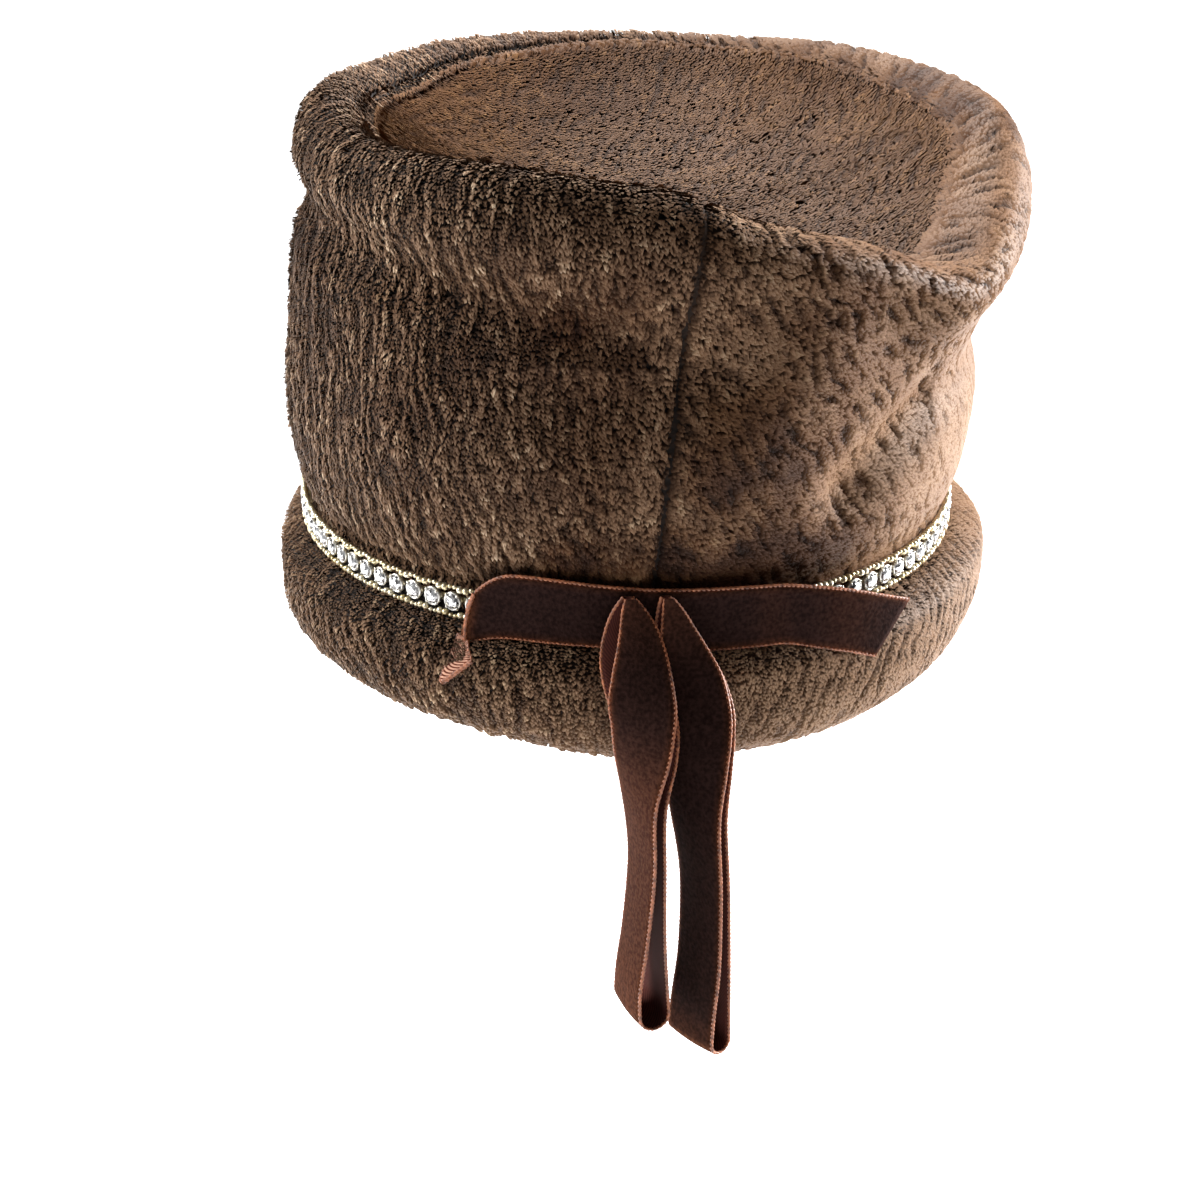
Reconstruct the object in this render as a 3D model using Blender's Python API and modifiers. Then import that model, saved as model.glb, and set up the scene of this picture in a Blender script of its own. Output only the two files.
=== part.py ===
"""Soft pillbox hat of curled plush: a slouched crown with a sunken top, a padded turned-up cuff,
a rhinestone trim in the groove between them, and a velvet ribbon bow at the back.

Units are metres. +Z is up and +Y is the wearer's front, so the back seam and the bow face -Y.
The origin is the middle of the head opening, level with the lowest line of the cuff.
Angles go round the hat in degrees, from 0 at the back seam through 90 at +X.
"""

import math
from collections import namedtuple

import bmesh
import bpy
from mathutils import Vector

# Crown: an oval tube, measured on its outside where the trim lies
CROWN_HALF_WIDTH = 0.089
CROWN_HALF_LENGTH = 0.102
CROWN_RISE = 0.1111  # from the trim's middle line to the rim's highest line
RIM_SWELL = 0.0100  # how far the rim stands out past the trim's groove
TOP_SHIFT = 0.0048  # the slouched top leans this far towards +X
PLUSH_THICKNESS = 0.003
DISH_DEPTH = 0.024  # how far the top's middle sinks below its seam
FOLD_DEPTH = 0.006
FOLD_REACH = 0.010  # half the width of a fold
TOP_SEAM_GAP = 0.0008
TOP_SEAM_SLOPE = 0.5  # how steeply the top starts down from its seam

# Cuff: a padded roll round the foot of the crown
CUFF_HEIGHT = 0.0335
CUFF_BULGE = 0.0113
CUFF_WRAP = 0.0026  # the fold that passes under the crown's lower edge

# Trim: a metal banding with a row of cut stones
TRIM_WIDTH = 0.0084
TRIM_BASE = 0.0009
TRIM_RAIL_WIDTH = 0.0016
TRIM_RAIL_HEIGHT = 0.0008
STONE_PITCH = 0.0063
STONE_DIAMETER = 0.0047
STONE_TABLE = 0.0028
STONE_HEIGHT = 0.0019
STONE_ROOT = 0.0004  # sunk into the banding so that the two fuse
STONE_SIDES = 8

# Ribbon: velvet, for the band and for both loops
RIBBON_WIDTH = 0.0158
RIBBON_THICKNESS = 0.0008
LEFT_LOOP_DROP = 0.1085
RIGHT_LOOP_DROP = 0.1180
LOOP_TOP = 0.009  # above the trim's middle line
LOOP_SPACING = 0.0115  # between the two loops
LOOP_STAND = 0.0205  # how far the loops hang in front of the crown's groove
LOOP_GAP = 0.0033  # half the opening of a loop at its widest

# Clearances between pieces
PIECE_GAP = 0.0003
TRIM_CLEARANCE = 0.0005

# How finely the surfaces are divided
COLUMNS = 64
LENGTH_STEPS = 720
BEND_STEPS = 5

HEM_LEVEL = CUFF_WRAP + PIECE_GAP
TRIM_LEVEL = CUFF_HEIGHT + PIECE_GAP + TRIM_WIDTH / 2
MEAN_RADIUS = (CROWN_HALF_WIDTH + CROWN_HALF_LENGTH) / 2 + RIM_SWELL / 2

# The crown's rings. rise: share of CROWN_RISE above the trim, or below it the share of the way
# down to the hem. swell: share of RIM_SWELL outwards.
Section = namedtuple("Section", "name rise swell")
CROWN_SECTIONS = (
    Section("hem", -1.00, 0.00),
    Section("sleeve", -0.45, 0.00),
    Section("groove_low", -0.13, 0.00),
    Section("groove_top", 0.045, 0.00),
    Section("overhang", 0.085, 0.20),
    Section("low_wall", 0.15, 0.42),
    Section("belly_low", 0.23, 0.55),
    Section("belly", 0.31, 0.62),
    Section("belly_high", 0.39, 0.63),
    Section("mid", 0.47, 0.62),
    Section("mid_high", 0.55, 0.63),
    Section("high", 0.63, 0.68),
    Section("shoulder", 0.71, 0.78),
    Section("upper", 0.79, 0.90),
    Section("equator", 0.87, 1.00),
    Section("roll_outer", 0.955, 0.84),
    Section("crest", 1.00, 0.36),
    Section("roll_inner", 0.988, -0.20),
    Section("seam", 0.950, -0.755),
)

CREST = next(section for section in CROWN_SECTIONS if section.name == "crest")
BEYOND_CREST = ("roll_inner", "seam")

# How the slouched rim settles. drop: share of CROWN_RISE lost; lean: share of RIM_SWELL outwards;
# inset: how much further in the top's seam lies than in the sections.
Rim = namedtuple("Rim", "angle drop lean inset")
RIM_ROWS = (
    Rim(-150, 0.010, 0.20, 0.85),
    Rim(-120, 0.015, -0.40, 1.35),
    Rim(-90, -0.005, -0.74, 1.25),
    Rim(-60, 0.035, -0.74, 1.00),
    Rim(-30, 0.022, -0.45, 1.00),
    Rim(0, 0.060, -0.78, 1.00),
    Rim(15, 0.145, -0.52, 1.00),
    Rim(30, 0.195, -0.20, 1.00),
    Rim(48, 0.305, 0.15, 1.00),
    Rim(68, 0.200, -0.05, 1.10),
    Rim(90, 0.052, 0.24, 1.05),
    Rim(112, 0.036, 0.20, 1.00),
    Rim(135, 0.012, -0.22, 0.65),
    Rim(160, 0.028, 0.13, 0.42),
    Rim(180, 0.018, 0.19, 0.32),
)

# Folds of the soft wall, each along a line from one place to another. depth: share of FOLD_DEPTH,
# inwards, or outwards where it is negative; reach: share of FOLD_REACH.
Fold = namedtuple("Fold", "name angle rise to_angle to_rise depth reach")
FOLDS = (
    Fold("left_valley", -105, 0.76, -62, 0.79, 0.83, 0.8),
    Fold("left_valley_middle", -62, 0.79, -30, 0.72, 0.85, 0.9),
    Fold("left_valley_end", -30, 0.72, -4, 0.65, 0.85, 1.0),
    Fold("seam_dimple", -14, 0.52, 4, 0.60, 0.55, 1.3),
    Fold("left_belly", -38, 0.36, -20, 0.40, -0.45, 1.8),
    Fold("right_valley", 112, 0.47, 47, 0.44, 0.55, 0.9),
    Fold("right_valley_end", 47, 0.44, 31, 0.28, 0.85, 0.9),
    Fold("right_puff", 85, 0.78, 48, 0.76, -0.90, 1.5),
    Fold("near_puff", 12, 0.42, 24, 0.62, -0.45, 1.6),
    Fold("front_sag", 150, 0.62, 205, 0.55, 0.50, 1.6),
    Fold("front_left_sag", -140, 0.45, -112, 0.60, 0.45, 1.4),
)

# The top panel's rings. reach: 1 at its seam and 0 in the middle; sink: share of DISH_DEPTH.
Ring = namedtuple("Ring", "name reach sink")
TIP_RINGS = (
    Ring("edge", 1.00, 0.00),
    Ring("slope", 0.84, 0.34),
    Ring("bowl", 0.60, 0.70),
    Ring("floor", 0.30, 0.94),
    Ring("middle", 0.00, 1.00),
)

# The cuff's section, once round. out: share of CUFF_BULGE; level: share of CUFF_HEIGHT.
CuffPoint = namedtuple("CuffPoint", "name out level")
CUFF_OUTSIDE = (
    CuffPoint("fold", 0.10, 0.000),
    CuffPoint("under", 0.23, 0.030),
    CuffPoint("low", 0.64, 0.170),
    CuffPoint("full", 0.92, 0.420),
    CuffPoint("widest", 0.96, 0.620),
    CuffPoint("shoulder", 0.90, 0.820),
    CuffPoint("lip", 0.40, 0.960),
)

# How the cuff varies round the hat. lift: share of CUFF_HEIGHT by which its foot rises; swell:
# how full its bulge is.
CuffTurn = namedtuple("CuffTurn", "angle lift swell")
CUFF_TURNS = (
    CuffTurn(-120, 0.000, 0.95),
    CuffTurn(-90, 0.000, 0.79),
    CuffTurn(-60, 0.110, 1.00),
    CuffTurn(-30, 0.125, 0.94),
    CuffTurn(0, 0.030, 0.98),
    CuffTurn(30, 0.028, 0.97),
    CuffTurn(60, 0.050, 0.98),
    CuffTurn(90, 0.068, 1.18),
    CuffTurn(120, 0.005, 1.04),
    CuffTurn(150, 0.000, 1.00),
    CuffTurn(180, 0.000, 1.00),
)

# The band's rows from its curled left end to its cut right end, in shares of RIBBON_WIDTH for each
# edge. along: round the hat from the back seam; out: off the groove's oval; level: over the trim.
BandRow = namedtuple("BandRow", "name upper_along upper_out upper_level lower_along lower_out lower_level")
BAND_ROWS = (
    BandRow("left_cut", -2.28, 0.42, 0.66, -2.95, 0.83, -1.05),
    BandRow("curl", -2.21, 0.41, 0.67, -2.80, 0.70, -0.66),
    BandRow("fold", -2.10, 0.39, 0.69, -2.60, 0.54, -0.40),
    BandRow("left", -1.85, 0.36, 0.71, -2.18, 0.40, -0.30),
    BandRow("left_middle", -1.35, 0.35, 0.71, -1.45, 0.36, -0.31),
    BandRow("left_inner", -0.65, 0.36, 0.68, -0.65, 0.35, -0.32),
    BandRow("seam", 0.00, 0.38, 0.64, 0.00, 0.36, -0.36),
    BandRow("right_inner", 0.93, 0.41, 0.61, 0.98, 0.41, -0.40),
    BandRow("right", 1.50, 0.46, 0.59, 1.56, 0.45, -0.41),
    BandRow("crease", 1.95, 0.51, 0.56, 2.04, 0.52, -0.42),
    BandRow("tail", 2.45, 0.60, 0.46, 2.55, 0.63, -0.58),
    BandRow("tail_middle", 3.05, 0.74, 0.29, 3.00, 0.73, -0.73),
    BandRow("right_cut", 3.98, 0.92, -0.09, 3.42, 0.82, -0.91),
)

# A hanging loop, from where it is sewn on down to its bend. drop: share of the loop's length;
# side: share of RIBBON_WIDTH towards +X; stand: share of LOOP_STAND; turn: degrees from facing
# back; gap: share of LOOP_GAP; width: share of RIBBON_WIDTH left by the gathers; lag: share of
# RIBBON_WIDTH by which the hind leg lies further towards -X.
LoopRow = namedtuple("LoopRow", "drop side stand turn gap width lag")
LEFT_LOOP_ROWS = (
    LoopRow(0.00, 0.00, 0.40, 0, 0.28, 0.40, 0.08),
    LoopRow(0.06, 0.02, 0.45, 0, 0.30, 0.62, 0.12),
    LoopRow(0.14, 0.02, 0.66, 6, 0.38, 0.80, 0.14),
    LoopRow(0.23, 0.02, 0.94, 18, 0.50, 1.00, 0.08),
    LoopRow(0.33, 0.02, 1.00, 38, 0.50, 1.00, 0.00),
    LoopRow(0.44, 0.00, 1.00, 62, 0.44, 1.00, 0.00),
    LoopRow(0.60, 0.06, 1.00, 70, 0.42, 1.00, 0.00),
    LoopRow(0.78, 0.03, 1.00, 72, 0.72, 1.00, 0.00),
    LoopRow(0.90, 0.00, 1.00, 72, 1.10, 1.00, 0.00),
    LoopRow(0.97, 0.00, 1.00, 70, 1.20, 1.00, 0.00),
)
RIGHT_LOOP_ROWS = (
    LoopRow(0.00, -0.10, 0.40, 0, 0.28, 0.40, 0.00),
    LoopRow(0.06, 0.00, 0.45, 0, 0.30, 0.62, 0.00),
    LoopRow(0.14, 0.10, 0.60, 6, 0.38, 0.80, 0.00),
    LoopRow(0.23, 0.14, 0.84, 16, 0.50, 1.00, 0.00),
    LoopRow(0.33, 0.12, 0.98, 30, 0.46, 1.00, 0.00),
    LoopRow(0.44, 0.12, 1.00, 46, 0.40, 1.00, 0.00),
    LoopRow(0.60, 0.24, 1.00, 56, 0.38, 1.00, 0.00),
    LoopRow(0.78, 0.26, 1.00, 56, 0.50, 1.00, 0.00),
    LoopRow(0.90, 0.22, 1.00, 54, 0.78, 1.00, 0.00),
    LoopRow(0.97, 0.20, 1.00, 52, 0.92, 1.00, 0.00),
)


def clear_scene():
    for old in list(bpy.data.objects):
        bpy.data.objects.remove(old)


def make_material(name, colour, roughness, metallic=0.0):
    """A Principled material with the piece's colour as linear red, green and blue."""
    material = bpy.data.materials.new(name)
    material.use_nodes = True
    shader = material.node_tree.nodes["Principled BSDF"]
    shader.inputs["Base Color"].default_value = (*colour, 1.0)
    shader.inputs["Roughness"].default_value = roughness
    shader.inputs["Metallic"].default_value = metallic
    return material


def between(low, high, share):
    return low + (high - low) * share


def eased(share):
    """0 to 1 with a level start and end."""
    share = min(max(share, 0.0), 1.0)
    return share * share * (3 - 2 * share)


def oval(angle, out=0.0):
    """A point of the crown's groove oval, moved outwards. The angle is in radians."""
    across = Vector((CROWN_HALF_WIDTH * math.sin(angle), -CROWN_HALF_LENGTH * math.cos(angle), 0))
    return across + outward(angle) * out


def outward(angle):
    """The oval's normal at an angle in radians."""
    return Vector(
        (math.sin(angle) / CROWN_HALF_WIDTH, -math.cos(angle) / CROWN_HALF_LENGTH, 0)
    ).normalized()


def oval_lengths():
    """The length along the groove oval from the back seam to each of LENGTH_STEPS angles."""
    lengths = [0.0]
    for step in range(LENGTH_STEPS):
        here = oval(math.tau * step / LENGTH_STEPS)
        after = oval(math.tau * (step + 1) / LENGTH_STEPS)
        lengths.append(lengths[-1] + (after - here).length)
    return lengths


def angle_at(length, lengths):
    """The angle in radians that lies this far along the oval from the back seam."""
    length = length % lengths[-1]
    step = next(i for i in range(LENGTH_STEPS) if lengths[i + 1] >= length)
    part = (length - lengths[step]) / (lengths[step + 1] - lengths[step])
    return math.tau * (step + part) / LENGTH_STEPS


def row_at(rows, degrees):
    """A row's values at an angle round the hat, eased between the rows on either side."""
    degrees = (degrees - rows[0].angle) % 360 + rows[0].angle
    low = max(i for i, row in enumerate(rows) if row.angle <= degrees)
    here = rows[low]
    after = rows[(low + 1) % len(rows)]
    part = eased((degrees - here.angle) / ((after.angle - here.angle) % 360))
    return type(here)(*(between(a, b, part) for a, b in zip(here, after)))


def foot_raised(degrees, level):
    """A level of the cuff or the crown's foot, raised where the cuff is turned up further."""
    lift = row_at(CUFF_TURNS, degrees).lift * CUFF_HEIGHT
    return level + lift * min(1.0, (CUFF_HEIGHT - level) / (CUFF_HEIGHT - HEM_LEVEL))


def distance_to_fold(fold, degrees, rise):
    """How far a place on the unrolled wall lies from a fold's line."""
    scale = math.radians(1) * MEAN_RADIUS
    turn = (degrees - fold.angle + 180) % 360 - 180
    place = Vector((turn * scale, (rise - fold.rise) * CROWN_RISE))
    line = Vector(
        (
            ((fold.to_angle - fold.angle + 180) % 360 - 180) * scale,
            (fold.to_rise - fold.rise) * CROWN_RISE,
        )
    )
    along = min(max(place.dot(line) / line.length_squared, 0.0), 1.0)
    return (place - line * along).length


def fold_depth(degrees, rise):
    """How far the folds push the wall inwards at a place."""
    depths = [0.0]
    for fold in FOLDS:
        away = distance_to_fold(fold, degrees, rise) / (FOLD_REACH * fold.reach)
        depths.append(FOLD_DEPTH * fold.depth * math.exp(-away * away))
    fading = eased((rise - 0.06) / 0.16) * eased((1.06 - rise) / 0.12)
    return (max(depths) + min(depths)) * fading


def crown_point(angle, section):
    """A point of the crown's outside, on one of its sections."""
    degrees = math.degrees(angle)
    if section.rise < 0:
        hem = foot_raised(degrees, HEM_LEVEL)
        return oval(angle) + Vector((0, 0, between(TRIM_LEVEL, hem, -section.rise)))
    rim = row_at(RIM_ROWS, degrees)
    rise, swell = section.rise, section.swell
    if section.name in BEYOND_CREST:
        rise = between(CREST.rise, rise, rim.inset)
        swell = between(CREST.swell, swell, rim.inset)
    settled = rise**2
    out = RIM_SWELL * (swell + rim.lean * settled) - fold_depth(degrees, rise)
    level = TRIM_LEVEL + CROWN_RISE * rise * (1 - rim.drop * settled)
    return oval(angle, out) + Vector((TOP_SHIFT * settled, 0, level))


def tip_middle():
    """The middle of the top's seam."""
    edge = [crown_point(math.tau * i / COLUMNS, CROWN_SECTIONS[-1]) for i in range(COLUMNS)]
    return sum(edge, Vector()) / COLUMNS


def tip_point(angle, ring, middle):
    """A point of the sunken top, between its seam and its middle."""
    edge = crown_point(angle, CROWN_SECTIONS[-1])
    inwards = (middle - edge).to_2d().normalized() * TOP_SEAM_GAP
    edge += Vector((inwards.x, inwards.y, -TOP_SEAM_GAP * TOP_SEAM_SLOPE))
    flat = middle.lerp(edge, ring.reach)
    flat.z = between(middle.z, edge.z, ring.reach**2) - DISH_DEPTH * ring.sink
    return flat


def new_object(name, mesh, material, collection):
    mesh.materials.clear()
    mesh.materials.append(material)
    piece = bpy.data.objects.new(name, mesh)
    collection.objects.link(piece)
    return piece


def grid_mesh(name, columns, rows, place):
    """A grid laid out by place(across, up), both from 0 to 1. Edges that meet are welded."""
    sheet = bmesh.new()
    bmesh.ops.create_grid(sheet, x_segments=columns, y_segments=rows, size=0.5)
    for vertex in sheet.verts:
        vertex.co = place(vertex.co.x + 0.5, vertex.co.y + 0.5)
    bmesh.ops.remove_doubles(sheet, verts=sheet.verts, dist=1e-6)
    mesh = bpy.data.meshes.new(name)
    sheet.to_mesh(mesh)
    sheet.free()
    mesh.shade_smooth()
    return mesh


def thicken(piece, thickness, offset):
    """Gives an open surface its thickness. Offset -1 puts all of it behind the surface."""
    solid = piece.modifiers.new("thickness", "SOLIDIFY")
    solid.thickness = thickness
    solid.offset = offset
    solid.use_even_offset = True


def make_crown_wall(material, collection):
    """The side of the crown, from its hem inside the cuff up over the rim to the top's seam."""
    last = len(CROWN_SECTIONS) - 1

    def place(across, up):
        return crown_point(math.tau * across, CROWN_SECTIONS[round(up * last)])

    mesh = grid_mesh("crown_wall", COLUMNS, last, place)
    wall = new_object("crown_wall", mesh, material, collection)
    thicken(wall, PLUSH_THICKNESS, -1)


def make_crown_tip(material, collection):
    """The oval top panel, sunk like a dish inside the rim."""
    last = len(TIP_RINGS) - 1
    middle = tip_middle()

    def place(across, up):
        return tip_point(math.tau * across, TIP_RINGS[round(up * last)], middle)

    mesh = grid_mesh("crown_tip", COLUMNS, last, place)
    tip = new_object("crown_tip", mesh, material, collection)
    thicken(tip, PLUSH_THICKNESS, -1)


def cuff_section():
    """The cuff's section as (out, level) points: under the hem, up the outside, down the inside."""
    inner_lip = -PLUSH_THICKNESS
    wrap = [(inner_lip, CUFF_WRAP), (inner_lip, CUFF_WRAP * 0.4)]
    outside = [(CUFF_BULGE * p.out, CUFF_HEIGHT * p.level) for p in CUFF_OUTSIDE]
    inside = [(PIECE_GAP, CUFF_HEIGHT), (PIECE_GAP, CUFF_WRAP)]
    return wrap + outside + inside


def make_cuff(material, collection):
    """The padded roll that is turned up round the crown's foot."""
    section = cuff_section()
    count = len(section)

    def place(across, up):
        out, level = section[round(up * count) % count]
        degrees = math.degrees(math.tau * across)
        if out > PIECE_GAP:
            out *= row_at(CUFF_TURNS, degrees).swell
        return oval(math.tau * across, out) + Vector((0, 0, foot_raised(degrees, level)))

    mesh = grid_mesh("cuff", COLUMNS, count, place)
    new_object("cuff", mesh, material, collection)


def trim_section():
    """The banding's section as (out, level) points from its middle, with a raised rail at each edge."""
    back = TRIM_CLEARANCE
    face = back + TRIM_BASE
    rail = face + TRIM_RAIL_HEIGHT
    edge = TRIM_WIDTH / 2
    inner = edge - TRIM_RAIL_WIDTH
    outside = [(rail, -edge), (rail, -inner), (face, -inner), (face, inner), (rail, inner), (rail, edge)]
    return outside + [(back, edge), (back, -edge)]


def stone_places(lengths, pairs):
    """Each stone's place and outward direction: two on each flat of the banding."""
    face = TRIM_CLEARANCE + TRIM_BASE
    places = []
    for pair in range(pairs):
        start = oval(angle_at(lengths[-1] * pair / pairs, lengths), face)
        end = oval(angle_at(lengths[-1] * (pair + 1) / pairs, lengths), face)
        facing = (end - start).cross(Vector((0, 0, 1))).normalized()
        for share in (0.25, 0.75):
            places.append((start.lerp(end, share) + Vector((0, 0, TRIM_LEVEL)), facing))
    return places


def make_stones(places):
    """All the cut stones as one mesh, each a table and eight facets on a straight girdle root."""
    stones = bmesh.new()
    for place, facing in places:
        turn = facing.to_track_quat("Z", "Y").to_matrix().to_4x4()
        turn.translation = place + facing * ((STONE_HEIGHT - STONE_ROOT) / 2)
        bmesh.ops.create_cone(
            stones,
            cap_ends=True,
            segments=STONE_SIDES,
            radius1=STONE_DIAMETER / 2,
            radius2=STONE_TABLE / 2,
            depth=STONE_HEIGHT + STONE_ROOT,
            matrix=turn,
        )
    mesh = bpy.data.meshes.new("stones")
    stones.to_mesh(mesh)
    stones.free()
    return mesh


def make_trim(material, collection, cutters):
    """The rhinestone trim: the banding and its stones, fused into one body."""
    lengths = oval_lengths()
    pairs = round(lengths[-1] / (2 * STONE_PITCH))
    section = trim_section()
    count = len(section)

    def place(across, up):
        out, level = section[round(up * count) % count]
        angle = angle_at(lengths[-1] * across, lengths)
        return oval(angle, out) + Vector((0, 0, TRIM_LEVEL + level))

    mesh = grid_mesh("rhinestone_trim", pairs, count, place)
    mesh.shade_flat()
    trim = new_object("rhinestone_trim", mesh, material, collection)
    stones = new_object("stones", make_stones(stone_places(lengths, pairs)), material, cutters)
    stones.hide_render = True
    stones.display_type = "WIRE"
    join = trim.modifiers.new("stones", "BOOLEAN")
    join.operation = "UNION"
    join.object = stones


def band_edge(along, out, level, lengths):
    angle = angle_at(RIBBON_WIDTH * along, lengths)
    return oval(angle, RIBBON_WIDTH * out) + Vector((0, 0, TRIM_LEVEL + RIBBON_WIDTH * level))


def make_band(material, collection):
    """The flat strip of the bow, over the trim, with a free tail at each end."""
    lengths = oval_lengths()
    last = len(BAND_ROWS) - 1

    def place(across, up):
        row = BAND_ROWS[round(across * last)]
        upper = band_edge(row.upper_along, row.upper_out, row.upper_level, lengths)
        lower = band_edge(row.lower_along, row.lower_out, row.lower_level, lengths)
        return lower.lerp(upper, up)

    mesh = grid_mesh("ribbon_band", last, 2, place)
    band = new_object("ribbon_band", mesh, material, collection)
    thicken(band, RIBBON_THICKNESS, 0)


def loop_stations(rows, drop):
    """The loop's stations as (middle, width direction, half width): down one leg, round the bend
    and up the other."""
    front, hind = [], []
    for row in rows:
        turn = math.radians(row.turn)
        across = Vector((math.cos(turn), -math.sin(turn), 0))
        facing = Vector((-math.sin(turn), -math.cos(turn), 0))
        level = TRIM_LEVEL + LOOP_TOP - drop * row.drop
        stand = -CROWN_HALF_LENGTH - LOOP_STAND * row.stand
        middle = Vector((RIBBON_WIDTH * row.side, stand, level))
        half = RIBBON_WIDTH * row.width / 2
        lag = Vector((RIBBON_WIDTH * row.lag, 0, 0))
        front.append((middle + facing * LOOP_GAP * row.gap, across, half))
        hind.append((middle - facing * LOOP_GAP * row.gap - lag, across, half))
    bottom, across, half = front[-1]
    other = hind[-1][0]
    middle = (bottom + other) / 2
    facing = bottom - middle
    bend = []
    for step in range(1, BEND_STEPS):
        turn = math.pi * step / BEND_STEPS
        down = Vector((0, 0, -facing.length * math.sin(turn)))
        bend.append((middle + facing * math.cos(turn) + down, across, half))
    return front + bend + hind[::-1]


def make_loop(name, rows, drop, aside, material, collection):
    """A hanging ribbon loop: one strip folded back on itself, gathered where it is sewn on."""
    stations = loop_stations(rows, drop)
    last = len(stations) - 1

    def place(across, up):
        middle, along, half = stations[round(up * last)]
        return middle + along * half * (2 * across - 1) + Vector((aside, 0, 0))

    mesh = grid_mesh(name, 2, last, place)
    loop = new_object(name, mesh, material, collection)
    thicken(loop, RIBBON_THICKNESS, 0)


def main():
    clear_scene()
    hat = bpy.data.collections.new("pillbox_hat")
    cutters = bpy.data.collections.new("cutters")
    for collection in (hat, cutters):
        bpy.context.scene.collection.children.link(collection)
    plush = make_material("brown_plush", (0.115, 0.066, 0.039), 0.9)
    tip_plush = make_material("brown_plush_top", (0.150, 0.090, 0.056), 0.9)
    cuff_plush = make_material("brown_plush_cuff", (0.130, 0.076, 0.046), 0.9)
    gold = make_material("pale_gold_and_crystal", (0.72, 0.62, 0.40), 0.25, 1.0)
    velvet = make_material("brown_velvet", (0.040, 0.009, 0.005), 0.85)
    make_crown_wall(plush, hat)
    make_crown_tip(tip_plush, hat)
    make_cuff(cuff_plush, hat)
    make_trim(gold, hat, cutters)
    make_band(velvet, hat)
    left_place = -LOOP_SPACING * 0.2
    right_place = left_place + LOOP_SPACING
    make_loop("ribbon_loop_left", LEFT_LOOP_ROWS, LEFT_LOOP_DROP, left_place, velvet, hat)
    make_loop("ribbon_loop_right", RIGHT_LOOP_ROWS, RIGHT_LOOP_DROP, right_place, velvet, hat)


if __name__ == "__main__":
    main()
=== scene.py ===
# %% [markdown]
# # A pillbox hat of curled plush
#
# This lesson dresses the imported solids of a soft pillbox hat. The solids say where everything is.
# Here the crown, its sunken top and the padded cuff get a curled pile, the trim gets its stones,
# cups and bead chains, and the bow becomes real velvet ribbon.
#
# Everything is in metres. +Z is up, and the bow hangs at the back, towards -Y. Angles go round the
# hat in degrees from the back seam, through 90 at +X.

# %% The frame
import math
from collections import namedtuple

import bpy
import numpy as np
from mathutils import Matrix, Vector


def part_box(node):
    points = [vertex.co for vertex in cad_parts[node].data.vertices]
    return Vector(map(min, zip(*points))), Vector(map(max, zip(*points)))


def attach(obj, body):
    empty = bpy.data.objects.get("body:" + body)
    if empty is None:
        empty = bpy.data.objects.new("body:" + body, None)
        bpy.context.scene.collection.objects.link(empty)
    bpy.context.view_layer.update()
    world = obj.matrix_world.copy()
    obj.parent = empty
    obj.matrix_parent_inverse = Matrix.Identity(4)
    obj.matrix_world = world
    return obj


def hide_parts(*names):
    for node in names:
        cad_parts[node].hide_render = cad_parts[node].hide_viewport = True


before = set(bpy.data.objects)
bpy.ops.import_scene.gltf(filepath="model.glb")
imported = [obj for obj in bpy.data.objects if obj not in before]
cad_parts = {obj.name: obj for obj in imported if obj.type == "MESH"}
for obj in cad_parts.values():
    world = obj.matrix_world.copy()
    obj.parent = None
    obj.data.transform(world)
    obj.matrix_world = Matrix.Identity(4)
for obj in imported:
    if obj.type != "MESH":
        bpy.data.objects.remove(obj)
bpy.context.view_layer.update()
print("nodes:", ", ".join(sorted(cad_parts)))

# %% [markdown]
# ## The camera
#
# The hat is seen from behind and from a little above. The camera stands to the left of the back
# seam by a few degrees, and its lens takes in 1200 pixels where 2200 pixels is the focal length.

# %% Camera
IMAGE_PIXELS = 1200
FOCAL_PIXELS = 2200
CAMERA_PLACE = (-0.0354, -0.5954, 0.2526)
CAMERA_PITCH = 22.97
CAMERA_TURN = -2.72


def new_object(name, data):
    """An object in the scene."""
    made = bpy.data.objects.new(name, data)
    bpy.context.scene.collection.objects.link(made)
    return made


camera_data = bpy.data.cameras.new("camera")
camera_data.sensor_width = 36.0
camera_data.lens = 36.0 * FOCAL_PIXELS / IMAGE_PIXELS
camera_data.clip_start = 0.01
camera = new_object("camera", camera_data)
camera.location = CAMERA_PLACE
camera.rotation_euler = (math.radians(90 - CAMERA_PITCH), 0, math.radians(CAMERA_TURN))
bpy.context.scene.camera = camera
print(f"lens {camera_data.lens:.1f} mm")

# %% [markdown]
# ## The hat's sizes
#
# These are the sizes that the solids were built from, so a point worked out here lies on them. The
# crown is a tube on an oval. Its rings swell out over the trim, roll over at the crest, and end in
# the top's seam.

# %% Sizes
MM = 0.001
HALF_WIDTH, HALF_LENGTH = 0.089, 0.102
CROWN_RISE, RIM_SWELL, TOP_SHIFT = 0.1111, 0.0100, 0.0048
DISH_DEPTH, FOLD_DEPTH, FOLD_REACH = 0.024, 0.006, 0.010
CUFF_HEIGHT, CUFF_BULGE, CUFF_WRAP = 0.0335, 0.0113, 0.0026
TRIM_WIDTH, STONE_PITCH = 0.0084, 0.0063
RIBBON_WIDTH = 0.0158
PIECE_GAP = 0.0003
CLOTH = 0.003
HEM_LEVEL = CUFF_WRAP + PIECE_GAP
TRIM_LEVEL = CUFF_HEIGHT + PIECE_GAP + TRIM_WIDTH / 2
MEAN_RADIUS = (HALF_WIDTH + HALF_LENGTH) / 2 + RIM_SWELL / 2

trim_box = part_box("rhinestone_trim")
trim_middle = (trim_box[0][2] + trim_box[1][2]) / 2
print(f"trim's middle {trim_middle / MM:.2f} mm up, by the sizes {TRIM_LEVEL / MM:.2f}")

# %% [markdown]
# Each ring of the crown has a rise, as a share of the way up, and a swell, as a share of how far
# the rim stands out. The slouch of the rim and the folds of the wall change it round the hat.

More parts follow.
